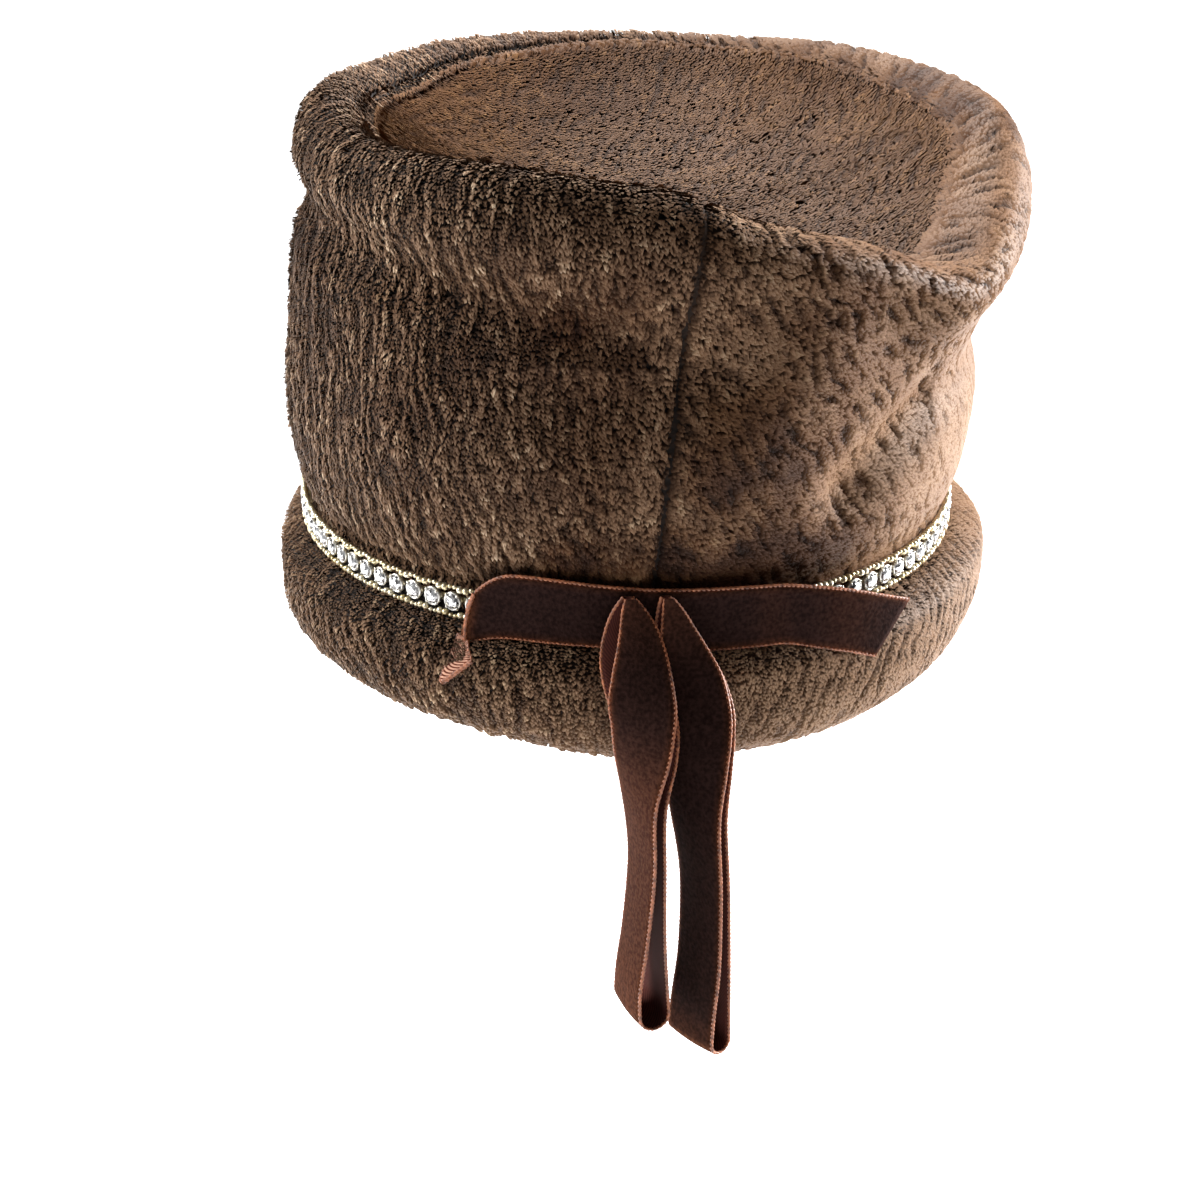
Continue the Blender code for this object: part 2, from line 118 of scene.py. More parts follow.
# %% Tables of the crown and cuff
SECTIONS = np.array([
    # rise, swell
    (-1.00, 0.00), (-0.45, 0.00), (-0.13, 0.00), (0.045, 0.00), (0.085, 0.20),
    (0.15, 0.42), (0.23, 0.55), (0.31, 0.62), (0.39, 0.63), (0.47, 0.62),
    (0.55, 0.63), (0.63, 0.68), (0.71, 0.78), (0.79, 0.90), (0.87, 1.00),
    (0.955, 0.84), (1.00, 0.36), (0.988, -0.20), (0.950, -0.755),
])
HEM, CREST, SEAM = 0, 16, 18

RIM = np.array([
    # angle, drop, lean, inset
    (-150, 0.010, 0.20, 0.85), (-120, 0.015, -0.40, 1.35), (-90, -0.005, -0.74, 1.25),
    (-60, 0.035, -0.74, 1.00), (-30, 0.022, -0.45, 1.00), (0, 0.060, -0.78, 1.00),
    (15, 0.145, -0.52, 1.00), (30, 0.195, -0.20, 1.00), (48, 0.305, 0.15, 1.00),
    (68, 0.200, -0.05, 1.10), (90, 0.052, 0.24, 1.05), (112, 0.036, 0.20, 1.00),
    (135, 0.012, -0.22, 0.65), (160, 0.028, 0.13, 0.42), (180, 0.018, 0.19, 0.32),
])

Fold = namedtuple("Fold", "name angle rise to_angle to_rise depth reach")
FOLDS = (
    Fold("left_valley", -105, 0.76, -62, 0.79, 0.83, 0.8),
    Fold("left_valley_middle", -62, 0.79, -30, 0.72, 0.85, 0.9),
    Fold("left_valley_end", -30, 0.72, -4, 0.65, 0.85, 1.0),
    Fold("seam_dimple", -14, 0.52, 4, 0.60, 0.55, 1.3),
    Fold("left_belly", -38, 0.36, -20, 0.40, -0.45, 1.8),
    Fold("right_valley", 112, 0.47, 47, 0.44, 0.50, 0.95),
    Fold("right_valley_end", 47, 0.44, 31, 0.28, 0.75, 0.95),
    Fold("right_puff", 85, 0.78, 48, 0.76, -0.90, 1.5),
    Fold("near_puff", 12, 0.42, 24, 0.62, -0.45, 1.6),
    Fold("front_sag", 150, 0.62, 205, 0.55, 0.50, 1.6),
    Fold("front_left_sag", -140, 0.45, -112, 0.60, 0.45, 1.4),
)

TIP = np.array([
    # reach, sink
    (1.00, 0.00), (0.84, 0.34), (0.60, 0.70), (0.30, 0.94), (0.00, 1.00),
])

CUFF = np.array([
    # out, level
    (0.10, 0.000), (0.23, 0.030), (0.64, 0.170), (0.92, 0.420), (0.96, 0.620),
    (0.90, 0.820), (0.40, 0.960), (0.03, 1.000),
])
CUFF_TURNS = np.array([
    # angle, lift, swell
    (-120, 0.000, 0.95), (-90, 0.000, 0.79), (-60, 0.110, 1.00), (-30, 0.125, 0.94),
    (0, 0.030, 0.98), (30, 0.028, 0.97), (60, 0.050, 0.98), (90, 0.068, 1.18),
    (120, 0.005, 1.04), (150, 0.000, 1.00), (180, 0.000, 1.00),
])
print(len(SECTIONS), "rings,", len(RIM), "places round the rim,", len(FOLDS), "folds")

# %% [markdown]
# ## From tables to smooth surfaces
#
# A table is read between its rows. Round the hat the values are eased from row to row and then
# softened over a few degrees, because cloth has no corners. Up the wall they follow a smooth curve
# through the rows.

# %% Reading the tables
SOFTEN_DEGREES = 5.0
ROUND_STEPS = 720
ROUND_PLACES = np.arange(ROUND_STEPS + 1) * 360.0 / ROUND_STEPS


def eased(share):
    """Rises smoothly from 0 to 1, and stays there."""
    share = np.clip(share, 0.0, 1.0)
    return share * share * (3 - 2 * share)


def off_by(degrees, middle):
    """How far an angle is from a middle one, from -180 to 180."""
    return (degrees - middle + 180) % 360 - 180


def normalised(vectors):
    """The same directions, each 1 long."""
    return vectors / np.maximum(np.linalg.norm(vectors, axis=-1, keepdims=True), 1e-12)


def walked(line):
    """How far along a line of points each of them is."""
    return np.concatenate([[0], np.cumsum(np.linalg.norm(np.diff(line, axis=0), axis=1))])


def round_table(table, column):
    """A column of a table at ROUND_STEPS even angles from 0 to 360."""
    first = table[0, 0]
    place = (ROUND_PLACES[:-1] - first) % 360 + first
    low = np.searchsorted(table[:, 0], place, side="right") - 1
    after = (low + 1) % len(table)
    span = (table[after, 0] - table[low, 0]) % 360
    part = eased((place - table[low, 0]) / span)
    values = table[low, column] * (1 - part) + table[after, column] * part
    turns = np.fft.rfftfreq(ROUND_STEPS, 1.0 / ROUND_STEPS)
    fading = np.exp(-0.5 * (turns * math.radians(SOFTEN_DEGREES)) ** 2)
    return np.fft.irfft(np.fft.rfft(values) * fading, ROUND_STEPS)


def read_round(values, degrees):
    """The values of round_table at any angles."""
    return np.interp(np.asarray(degrees) % 360, ROUND_PLACES, np.append(values, values[0]))


def through(rows, place):
    """A smooth curve through a table's rows, at places counted in rows."""
    place = np.clip(place, 0, len(rows) - 1 - 1e-9)
    low = place.astype(int)
    part = (place - low)[..., None]
    before, here = rows[np.maximum(low - 1, 0)], rows[low]
    after, beyond = rows[low + 1], rows[np.minimum(low + 2, len(rows) - 1)]
    slope_here, slope_after = (after - before) / 2, (beyond - here) / 2
    return (
        here * (2 * part**3 - 3 * part**2 + 1)
        + slope_here * (part**3 - 2 * part**2 + part)
        + after * (3 * part**2 - 2 * part**3)
        + slope_after * (part**3 - part**2)
    )


DROP, LEAN, INSET = (round_table(RIM, column) for column in (1, 2, 3))
LIFT, CUFF_SWELL = (round_table(CUFF_TURNS, column) for column in (1, 2))
print(f"rim drops up to {DROP.max() * CROWN_RISE * 1000:.0f} mm")

# %% [markdown]
# The oval gives a point and an outward direction for each angle. The crown, the sunken top and the
# cuff are each a function of an angle and of a place across the cloth.

# %% Surfaces
def oval(degrees, out):
    """Points of the groove's oval, moved outwards by out."""
    angle = np.radians(degrees)
    normal_x, normal_y = np.sin(angle) / HALF_WIDTH, -np.cos(angle) / HALF_LENGTH
    size = np.hypot(normal_x, normal_y)
    x = HALF_WIDTH * np.sin(angle) + normal_x / size * out
    y = -HALF_LENGTH * np.cos(angle) + normal_y / size * out
    return x, y


def fold_depth(degrees, rise):
    """How far the folds push the wall inwards. They fade out over the trim and past the crest."""
    scale = math.radians(1) * MEAN_RADIUS
    inwards, outwards = np.zeros_like(rise), np.zeros_like(rise)
    for fold in FOLDS:
        across = off_by(degrees, fold.angle) * scale
        up = (rise - fold.rise) * CROWN_RISE
        line_across = off_by(fold.to_angle, fold.angle) * scale
        line_up = (fold.to_rise - fold.rise) * CROWN_RISE
        along = np.clip((across * line_across + up * line_up) / (line_across**2 + line_up**2), 0, 1)
        away = np.hypot(across - line_across * along, up - line_up * along) / (FOLD_REACH * fold.reach)
        depth = FOLD_DEPTH * fold.depth * np.exp(-away * away)
        inwards, outwards = np.maximum(inwards, depth), np.minimum(outwards, depth)
    return (inwards + outwards) * eased((rise - 0.06) / 0.16) * eased((1.06 - rise) / 0.12)


def foot_raised(degrees, level):
    """A level on the cuff, raised where the cuff's foot lifts off."""
    lift = read_round(LIFT, degrees) * CUFF_HEIGHT
    return level + lift * np.minimum(1.0, (CUFF_HEIGHT - level) / (CUFF_HEIGHT - HEM_LEVEL))


def crown(degrees, place):
    """The crown's outside at angles and at places counted in rings from the hem."""
    degrees, place = np.broadcast_arrays(np.asarray(degrees, float), np.asarray(place, float))
    rise, swell = np.moveaxis(through(SECTIONS, place), -1, 0)
    inset = np.where(place > CREST, read_round(INSET, degrees), 1.0)
    rise = SECTIONS[CREST, 0] + (rise - SECTIONS[CREST, 0]) * inset
    swell = SECTIONS[CREST, 1] + (swell - SECTIONS[CREST, 1]) * inset
    settled = np.maximum(rise, 0) ** 2
    out = RIM_SWELL * (swell + read_round(LEAN, degrees) * settled) - fold_depth(degrees, rise)
    x, y = oval(degrees, out)
    raised = TRIM_LEVEL + CROWN_RISE * rise * (1 - read_round(DROP, degrees) * settled)
    hem = foot_raised(degrees, np.full_like(rise, HEM_LEVEL))
    sleeve = TRIM_LEVEL + (hem - TRIM_LEVEL) * -rise
    return np.stack([x + TOP_SHIFT * settled, y, np.where(rise < 0, sleeve, raised)], -1)


TOP_MIDDLE = crown(np.arange(0, 360, 5.0), SEAM).mean(0)


SEAM_INSET, SEAM_STEP = 0.8 * MM, 0.4 * MM


def tip(degrees, place):
    """The sunken top at angles and at places counted in rings from its seam."""
    degrees, place = np.broadcast_arrays(np.asarray(degrees, float), np.asarray(place, float))
    reach, sink = np.moveaxis(through(TIP, place), -1, 0)
    edge = crown(degrees, SEAM)
    flat = edge[..., :2] + normalised(TOP_MIDDLE[:2] - edge[..., :2]) * SEAM_INSET
    x, y = np.moveaxis(TOP_MIDDLE[:2] + (flat - TOP_MIDDLE[:2]) * reach[..., None], -1, 0)
    level = TOP_MIDDLE[2] + (edge[..., 2] - SEAM_STEP - TOP_MIDDLE[2]) * reach**2 - DISH_DEPTH * sink
    return np.stack([x, y, level], -1)


def cuff(degrees, place):
    """The cuff's outside at angles and at places counted in rows from its lower fold."""
    degrees, place = np.broadcast_arrays(np.asarray(degrees, float), np.asarray(place, float))
    out, level = np.moveaxis(through(CUFF, place), -1, 0)
    x, y = oval(degrees, CUFF_BULGE * out * read_round(CUFF_SWELL, degrees))
    return np.stack([x, y, foot_raised(degrees, CUFF_HEIGHT * level)], -1)


print("top's middle", TOP_MIDDLE.round(4))

# %% [markdown]
# ## Noise
#
# Plush is never even. Smooth random waves bend the grooves of the pile, and set how long and how
# light each lock is. The waves come from a fixed table, so each run gives the same hat.

# %% Noise
rng = np.random.default_rng(5453)
LATTICE = 256
LAYER_STEP = 37
SHUFFLED = rng.permutation(LATTICE)
SLOPES = rng.uniform(0, math.tau, LATTICE)


def waves(x, y, layer=0):
    """Gradient noise from about -0.7 to 0.7, with waves about 1 apart."""
    column, row = np.floor(x).astype(int), np.floor(y).astype(int)
    across, up = x - column, y - row
    total = np.zeros_like(across)
    for step_x in (0, 1):
        for step_y in (0, 1):
            corner = SHUFFLED[(column + step_x + LAYER_STEP * layer) % LATTICE] + row + step_y
            slope = SLOPES[SHUFFLED[corner % LATTICE]]
            lean = np.cos(slope) * (across - step_x) + np.sin(slope) * (up - step_y)
            weight = (1 - eased(np.abs(across - step_x))) * (1 - eased(np.abs(up - step_y)))
            total += lean * weight
    return total


def clouds(x, y, layer=0):
    """Waves with smaller ones on them."""
    smaller = 0.5 * waves(2.1 * x, 2.1 * y, layer + 1)
    return waves(x, y, layer) + smaller + 0.25 * waves(4.3 * x, 4.3 * y, layer + 2)


sample = clouds(np.linspace(0, 40, 4000), np.linspace(0, 23, 4000))
print(f"clouds run from {sample.min():.2f} to {sample.max():.2f}")

# %% [markdown]
# ## Materials
#
# A material is named for what it is and how it was made. Colours are sRGB hex values, as a screen
# would show them, and one function turns them into linear light.

# %% Material helpers
def linear(hex_colour):
    """A hex colour in linear light, by the sRGB curve."""
    parts = [int(hex_colour[i:i + 2], 16) / 255 for i in (1, 3, 5)]
    return (*(p / 12.92 if p <= 0.04045 else ((p + 0.055) / 1.055) ** 2.4 for p in parts), 1.0)


def new_material(name, **sockets):
    """A Principled material, with the sockets that are the same all over it."""
    material = bpy.data.materials.new(name)
    material.use_nodes = True
    shader = material.node_tree.nodes["Principled BSDF"]
    for socket, value in sockets.items():
        shader.inputs[socket.replace("_", " ")].default_value = value
    return material, shader


def add(material, kind, links=None, **settings):
    """A node with its settings. links goes from its input to the output that feeds it."""
    made = material.node_tree.nodes.new(kind)
    for key, value in settings.items():
        if key in made.inputs:
            made.inputs[key].default_value = value
        else:
            setattr(made, key, value)
    for socket, source in (links or {}).items():
        material.node_tree.links.new(source, made.inputs[socket])
    return made


def wire(material, source, socket):
    material.node_tree.links.new(source, socket)


def attribute(material, name):
    """A number that the mesh keeps on its points or faces."""
    return add(material, "ShaderNodeAttribute", attribute_name=name).outputs["Fac"]


def own_place(material):
    return add(material, "ShaderNodeTexCoord").outputs["Object"]


def noise(material, place, scale, detail, **settings):
    """Smooth noise, with scale waves to a metre or to a unit of place."""
    links = {"Vector": place}
    made = add(material, "ShaderNodeTexNoise", links, Scale=scale, Detail=detail, **settings)
    return made.outputs["Fac"]


def emboss(material, shader, height, strength, distance):
    """Gives the shader a fine relief. distance is its depth in metres."""
    relief = add(material, "ShaderNodeBump", {"Height": height}, Strength=strength, Distance=distance)
    wire(material, relief.outputs["Normal"], shader.inputs["Normal"])


def ramp(material, factor, *stops):
    """A colour ramp through (place, hex colour) stops."""
    made = add(material, "ShaderNodeValToRGB", {"Fac": factor})
    elements = made.color_ramp.elements
    while len(elements) < len(stops):
        elements.new(0.5)
    for element, (place, colour) in zip(elements, stops):
        element.position = place
        element.color = linear(colour)
    return made.outputs["Color"]


def blend(material, factor, first, second, mode="MIX"):
    """Mixes two colours. Each is an output or a hex colour, and factor an output or a number."""
    made = add(material, "ShaderNodeMix", data_type="RGBA", blend_type=mode)
    for index, value in ((0, factor), (6, first), (7, second)):
        if isinstance(value, str):
            made.inputs[index].default_value = linear(value)
        elif isinstance(value, float):
            made.inputs[index].default_value = value
        else:
            wire(material, value, made.inputs[index])
    return made.outputs[2]


def shaded(material, colour, amount, factor, *stops):
    """A colour times the ramp of a factor. amount is how strongly the ramp counts."""
    return blend(material, amount, colour, ramp(material, factor, *stops), "MULTIPLY")


print("material helpers are ready")

# %% [markdown]
# ### The pile
#
# Each lock of pile is dark at its root and lighter at its tip, as dyed acrylic pile is, because
# the roots lie in shade and the tips are sheared and brushed. `along` runs from root to tip, and
# `shade` differs from lock to lock; the lightest locks end in painted glints. `ridge` is how high
# the pile stands there, and the grooves get painted shade by it. A fourth number is how much
# painted shade the pile gets where it leans away from the light. The fine streaks are single
# fibres, about 12 to a lock.

# %% Pile materials
FIBRES_A_LOCK = 12.0


def pile_material(name, root, middle, end, glint_end, glint_share):
    """Pile in colours from its root to its end. The lightest share of locks ends in a paler colour, as
    painted glints.
    """
    material, shader = new_material(
        name, Sheen_Weight=0.07, Sheen_Roughness=0.45, Sheen_Tint=linear("#c9a27c"),
        Specular_IOR_Level=0.10,
    )
    ridge = attribute(material, "ridge")
    nap = attribute(material, "nap")
    along = attribute(material, "along")
    shade = attribute(material, "shade")
    body = ramp(material, along, (0.0, root), (0.5, middle), (1.0, end))
    # Painted glints: the lightest share of locks gets lighter tips.
    painted_glint_tips = ramp(material, along, (0.0, root), (0.5, end), (1.0, glint_end))
    lightest = {"From Min": 1.0 - glint_share, "From Max": 1.0}
    chosen = add(material, "ShaderNodeMapRange", {"Value": shade}, **lightest).outputs["Result"]
    colour = blend(material, chosen, body, painted_glint_tips)
    # Painted shade in the grooves, where the pile stands low.
    painted_shade_in_grooves = ((0.0, "#4d4038"), (0.22, "#a3978d"), (0.6, "#f0ece8"), (1.0, "#ffffff"))
    colour = shaded(material, colour, 0.9, ridge, *painted_shade_in_grooves)
    # Painted shade where the pile leans away from the light.
    painted_shade_turned_away = ((0.0, "#ffffff"), (0.7, "#b3a08c"), (1.0, "#604530"))
    colour = shaded(material, colour, 1.0, nap, *painted_shade_turned_away)
    patches = noise(material, own_place(material), 28.0, 3.0, Roughness=0.55)
    colour = shaded(material, colour, 0.8, patches, (0.3, "#c9bdb6"), (0.7, "#ffffff"))
    strand = add(material, "ShaderNodeUVMap", uv_map="strand").outputs["UV"]
    stretched = add(material, "ShaderNodeMapping", {"Vector": strand}, Scale=(FIBRES_A_LOCK, 1.2, 1.0))
    fibres = noise(material, stretched.outputs["Vector"], 1.0, 2.0)
    colour = shaded(material, colour, 0.75, fibres, (0.3, "#b9aaa0"), (0.65, "#ffffff"))
    wire(material, colour, shader.inputs["Base Color"])
    dull = add(material, "ShaderNodeMapRange", {"Value": along}, **{"To Min": 0.85, "To Max": 0.52})
    wire(material, dull.outputs["Result"], shader.inputs["Roughness"])
    emboss(material, shader, fibres, 0.35, 0.0002)
    return material


crown_pile = pile_material(
    "curled acrylic pile, crown", "#35261e", "#7c614b", "#ab8f75", "#ffebcb", 0.42
)
# The top's pile is a darker copy of the crown's, with duller light tips: painted shade on the top.
tip_pile = pile_material(
    "curled acrylic pile, top", "#33231a", "#7e5e42", "#a3815a", "#d2b083", 0.25
)
cuff_pile = pile_material(
    "curled acrylic pile, cuff", "#35261e", "#7d624b", "#ad9075", "#f6dfb9", 0.30
)

# %% [markdown]
# Under the pile lies its knitted backing, which shows inside the hat. Between brushed locks it
# looks lighter, because loose fibres lie over it.

# %% Backing material
KNIT_PITCH = 1.2 * MM


def backing_material(name, dark, light, brushed=None):
    """Knitted cloth. Under brushed pile it takes the colour of the loose fibres."""
    material, shader = new_material(name, Roughness=0.9, Sheen_Weight=0.2, Specular_IOR_Level=0.25)
    place = own_place(material)
    courses = add(
        material, "ShaderNodeTexWave", {"Vector": place}, wave_type="BANDS", bands_direction="Z",
        Scale=1 / KNIT_PITCH / math.tau, Distortion=2.0, Detail=2.0,
    )
    fuzz = add(material, "ShaderNodeTexNoise", {"Vector": place}, Scale=900.0, Detail=3.0)
    mixed = blend(material, 0.5, courses.outputs["Color"], fuzz.outputs["Color"])
    colour = ramp(material, mixed, (0.2, dark), (0.8, light))
    if brushed:
        colour = blend(material, attribute(material, "brushed"), colour, brushed)
    wire(material, colour, shader.inputs["Base Color"])
    emboss(material, shader, mixed, 0.5, 0.0003)
    return material


knit_backing = backing_material("knitted backing, dark brown", "#1d140e", "#3a2b20")
# Under the pile the backing is darker than inside the hat, as painted shade under the locks.
pile_roots_in_painted_shade = backing_material("knitted backing under the pile", "#120b07", "#24170f", brushed="#5e4535")
print("pile and backing materials are ready")

# %% [markdown]
# ## Meshes from grids
#
# A grid of points becomes a mesh. It can close round the hat, and it can have a thickness.

# %% Grid meshes
def grid_faces(columns, rows, closed):
    """Faces of a grid whose points are stored column by column, facing outwards."""
    last = columns if closed else columns - 1
    here = np.arange(last)[:, None] * rows + np.arange(rows - 1)[None, :]
    beside = (np.arange(last)[:, None] + 1) % columns * rows + np.arange(rows - 1)[None, :]
    return np.stack([here, beside, beside + 1, here + 1], -1).reshape(-1, 4)


def new_mesh(name, points, faces, materials):
    """A smooth mesh object from points and faces."""
    mesh = bpy.data.meshes.new(name)
    mesh.from_pydata(points.reshape(-1, 3).tolist(), [], [list(face) for face in faces])
    for material in materials:
        mesh.materials.append(material)
    mesh.shade_smooth()
    mesh.update()
    piece = new_object(name, mesh)
    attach(piece, "root")
    return piece


def keep_on_points(piece, **numbers):
    """Keeps a number on each point of a piece, under each name."""
    for name, values in numbers.items():
        kept = piece.data.attributes.new(name, "FLOAT", "POINT")
        kept.data.foreach_set("value", np.asarray(values, np.float32).ravel())


def joined(parts):
    """The points and the faces of several parts, as one."""
    starts = np.cumsum([0] + [len(points) for points, _ in parts])
    faces = [faces + start for (_, faces), start in zip(parts, starts)]
    return np.concatenate([points for points, _ in parts]), np.concatenate(faces)


def thicken(piece, thickness, inner_slot, offset=-1.0):
    """Gives a cloth its thickness, with its own material on the inside."""
    solid = piece.modifiers.new("thickness", "SOLIDIFY")
    solid.thickness = thickness
    solid.offset = offset
    solid.material_offset = inner_slot
    solid.material_offset_rim = inner_slot
    return piece


PILE_DEPTH = 1.0 * MM  # from the pile's surface down to its backing
print("grids are ready")

# %% [markdown]
# The backings lie one pile depth under the surfaces that the solids have. They are pushed in along
# their own normals. Each keeps where the pile on it was brushed out.

# %% Backing cloths
def normals_of(points, closed=True):
    """Outward normals of a grid of points laid out as (columns, rows, 3)."""
    if closed:
        round_way = np.roll(points, -1, 0) - np.roll(points, 1, 0)
    else:
        round_way = np.gradient(points, axis=0)
    up_way = np.gradient(points, axis=1)
    return normalised(np.cross(round_way, up_way))


def surface_grid(surface, columns, places):
    degrees = np.arange(columns) * 360.0 / columns
    return surface(degrees[:, None], places[None, :])


def brushed_out(degrees):
    """Near 1 right of the back seam, where the pile was brushed out, and 0 left of it."""
    from_seam = (degrees + 150) % 360 - 150
    return eased((from_seam + 38) / 76) * eased((205 - from_seam) / 50)


COLUMNS, TIP_COLUMNS = 240, 160
CROWN_ROWS, TIP_ROWS, CUFF_ROWS = 82, 24, 30
TIP_MIDDLE_HOLE = 3.9  # the last ring of the top's grid, which one face closes

wall_points = surface_grid(crown, COLUMNS, np.linspace(HEM, SEAM, CROWN_ROWS))
wall_points -= normals_of(wall_points) * PILE_DEPTH
wall_faces = grid_faces(COLUMNS, CROWN_ROWS, True)
crown_backing = new_mesh("crown_backing", wall_points, wall_faces, [pile_roots_in_painted_shade, knit_backing])

tip_points = surface_grid(tip, TIP_COLUMNS, np.linspace(0, TIP_MIDDLE_HOLE, TIP_ROWS))
tip_points -= normals_of(tip_points) * PILE_DEPTH
middle_face = [column * TIP_ROWS + TIP_ROWS - 1 for column in range(TIP_COLUMNS)]
tip_faces = grid_faces(TIP_COLUMNS, TIP_ROWS, True).tolist() + [middle_face]
tip_backing = new_mesh("tip_backing", tip_points, tip_faces, [pile_roots_in_painted_shade, knit_backing])
print(len(wall_points.reshape(-1, 3)), len(tip_points.reshape(-1, 3)), "points")

cuff_outer = surface_grid(cuff, COLUMNS, np.linspace(0, len(CUFF) - 1, CUFF_ROWS))
cuff_outer -= normals_of(cuff_outer) * PILE_DEPTH
cuff_inner = cuff_outer[:, [-1, 0]].copy()
degrees = np.arange(COLUMNS) * 360.0 / COLUMNS
inner_x, inner_y = oval(degrees, 0.6 * MM)
cuff_inner[..., 0], cuff_inner[..., 1] = inner_x[:, None], inner_y[:, None]
cuff_points = np.concatenate([cuff_outer, cuff_inner, cuff_outer[:, :1]], 1)
cuff_rows = CUFF_ROWS + 3
cuff_backing = new_mesh("cuff_backing", cuff_points, grid_faces(COLUMNS, cuff_rows, True), [pile_roots_in_painted_shade])
for piece in (crown_backing, tip_backing):
    thicken(piece, CLOTH - PILE_DEPTH, 1)

seam_shade = np.clip(np.abs(off_by(degrees, 0)) / 6 - 0.5, 0, 1)
for piece, rows, share in (
    (crown_backing, CROWN_ROWS, brushed_out(degrees) * seam_shade),
    (tip_backing, TIP_ROWS, np.full(TIP_COLUMNS, 0.8)),
    (cuff_backing, cuff_rows, 0.8 * brushed_out(degrees)),
):
    keep_on_points(piece, brushed=np.repeat(share, rows))

# %% [markdown]
# ## Curled pile
#
# The pile stands in wavy ridges, about 4.7 mm apart, and each ridge is broken into beads of curled
# fibre. Where it was brushed out it is smooth, with slanting streaks that the brush missed. A lock
# is a short leaf: two points at its root, two in its wider middle, and a tip that bends over the
# way the pile was brushed.

# %% Places for the locks
LOCK_SPACING = 0.80 * MM
LOCK_JITTER = 0.42  # of the spacing
RIDGE_PITCH = 4.7 * MM


def lay_out(surface, first, last, spacing, slant, seed):
    """An even, jittered grid of places on a surface, thinned where the cloth is narrower."""
    chance = np.random.default_rng(seed)
    ladder = np.linspace(first, last, 160)
    path = surface(np.arange(0, 360, 12.0)[:, None], ladder[None, :])
    steps = np.linalg.norm(np.diff(path, axis=1), axis=-1).mean(0)
    height = np.concatenate([[0], np.cumsum(steps)])
    girth = np.linalg.norm(np.diff(path, axis=0, append=path[:1]), axis=-1).sum(0).max()
    columns, rows = int(girth / spacing), int(height[-1] / spacing)
    column, row = np.meshgrid(np.arange(columns), np.arange(rows), indexing="ij")
    aside = chance.uniform(-LOCK_JITTER, LOCK_JITTER, column.shape)
    turn = (column + 0.5 * (row % 2) + aside) / columns % 1.0
    raised = chance.uniform(-LOCK_JITTER, LOCK_JITTER, column.shape)
    climb = (row + 0.5 + raised) / rows * height[-1]
    turn, climb = turn.ravel(), climb.ravel()
    place = np.interp(climb, height, ladder)
    degrees = turn * 360.0 + slant(place)
    small = 0.05
    point = surface(degrees, place)
    round_way = (surface(degrees + small, place) - surface(degrees - small, place)) / (2 * small)
    above, below = np.minimum(place + small, last), np.maximum(place - small, first)
    up_way = (surface(degrees, above) - surface(degrees, below)) / (above - below)[:, None]
    wide = np.linalg.norm(round_way, axis=1) * 360.0 / columns
    places_a_metre = np.gradient(ladder, height)[np.searchsorted(height, climb) - 1]
    tall = np.linalg.norm(up_way, axis=1) * places_a_metre
    keep = chance.uniform(0, 1, len(turn)) < wide * tall * height[-1] / rows / spacing**2
    normal = normalised(np.cross(round_way, up_way))
    round_way = normalised(round_way)
    up_way = np.cross(normal, round_way)
    laid = {
        "turn": turn, "run": turn * girth, "climb": climb, "place": place, "degrees": degrees,
        "point": point, "normal": normal, "round": round_way, "up": up_way,
    }
    return {key: value[keep] for key, value in laid.items()}


def furrows(turns):
    """Even waves from 0 to 1, one to a turn."""
    return 0.5 + 0.5 * np.cos(math.tau * turns)


def ridges(run, climb, tilt, pitch, wander, layer):
    """How high the pile stands, from 0 in a groove to 1 on a ridge's bead."""
    across = run * np.cos(tilt) + climb * np.sin(tilt)
    down = climb * np.cos(tilt) - run * np.sin(tilt)
    bend = wander * clouds(run / (15 * MM), climb / (21 * MM), layer)
    bend += 0.45 * waves(run / (4.5 * MM), climb / (6 * MM), layer + 3)
    ridge = furrows(across / pitch + bend) ** 0.8
    bead_bend = 0.9 * waves(run / (5 * MM), climb / (5 * MM), layer + 5)
    bead = furrows(down / (0.8 * pitch) + bead_bend)
    clump = eased(0.5 + 1.2 * waves(across / (2.4 * MM), down / (5.0 * MM), layer + 9))
    patch = eased(0.55 + 1.1 * clouds(run / (12 * MM), climb / (14 * MM), layer + 7))
    height = 0.85 * ridge * (0.55 + 0.45 * bead) + 0.22 * clump
    return np.clip(height * (0.35 + 0.65 * patch), 0, 1)


def combed(run, climb, tilt, pitch, layer):
    """The same for brushed pile: high, with low streaks that the brush missed."""
    across = run * math.cos(tilt) + climb * math.sin(tilt)
    bend = 0.9 * clouds(run / (15 * MM), climb / (21 * MM), layer)
    bend += 0.35 * waves(run / (4 * MM), climb / (5 * MM), layer + 3)
    streak = furrows(across / pitch + bend) ** 0.7
    missed = eased(0.62 + 1.3 * clouds(run / (9 * MM), climb / (10 * MM), layer + 5))
    fine = 0.1 * waves(run / (2 * MM), climb / (2 * MM), layer + 8)
    return np.clip(1 - (1 - streak) * missed + fine, 0, 1)


def uneven(x, y, wide, tall, swing, layer, spread, chance):
    """Waves wide and tall millimetres apart, and a random part that differs from lock to lock."""
    return swing * waves(x / (wide * MM), y / (tall * MM), layer) + chance.normal(0, spread, len(x))


def upright(place):
    """Cloth that isn't slanted, for lay_out."""
    return 0.0 * place


print("lock layout is ready")

# %% [markdown]
# Each lock's own numbers are kept on its points, for the material: how far along it each point is,
# and how light the lock is. For the bake each lock has its own cell of the picture.

# %% Locks
FACES = np.array([(0, 3, 1), (0, 2, 3), (2, 4, 3)])
SIDES = np.array([0.0, 1.0, 0.0, 1.0, 0.5])
ALONGS = np.array([0.0, 0.0, 0.55, 0.55, 1.0])
LOCK_POINTS = len(SIDES)
CELL_MARGIN, CELL_REACH = 0.12, 0.76  # of a lock's cell in the bake


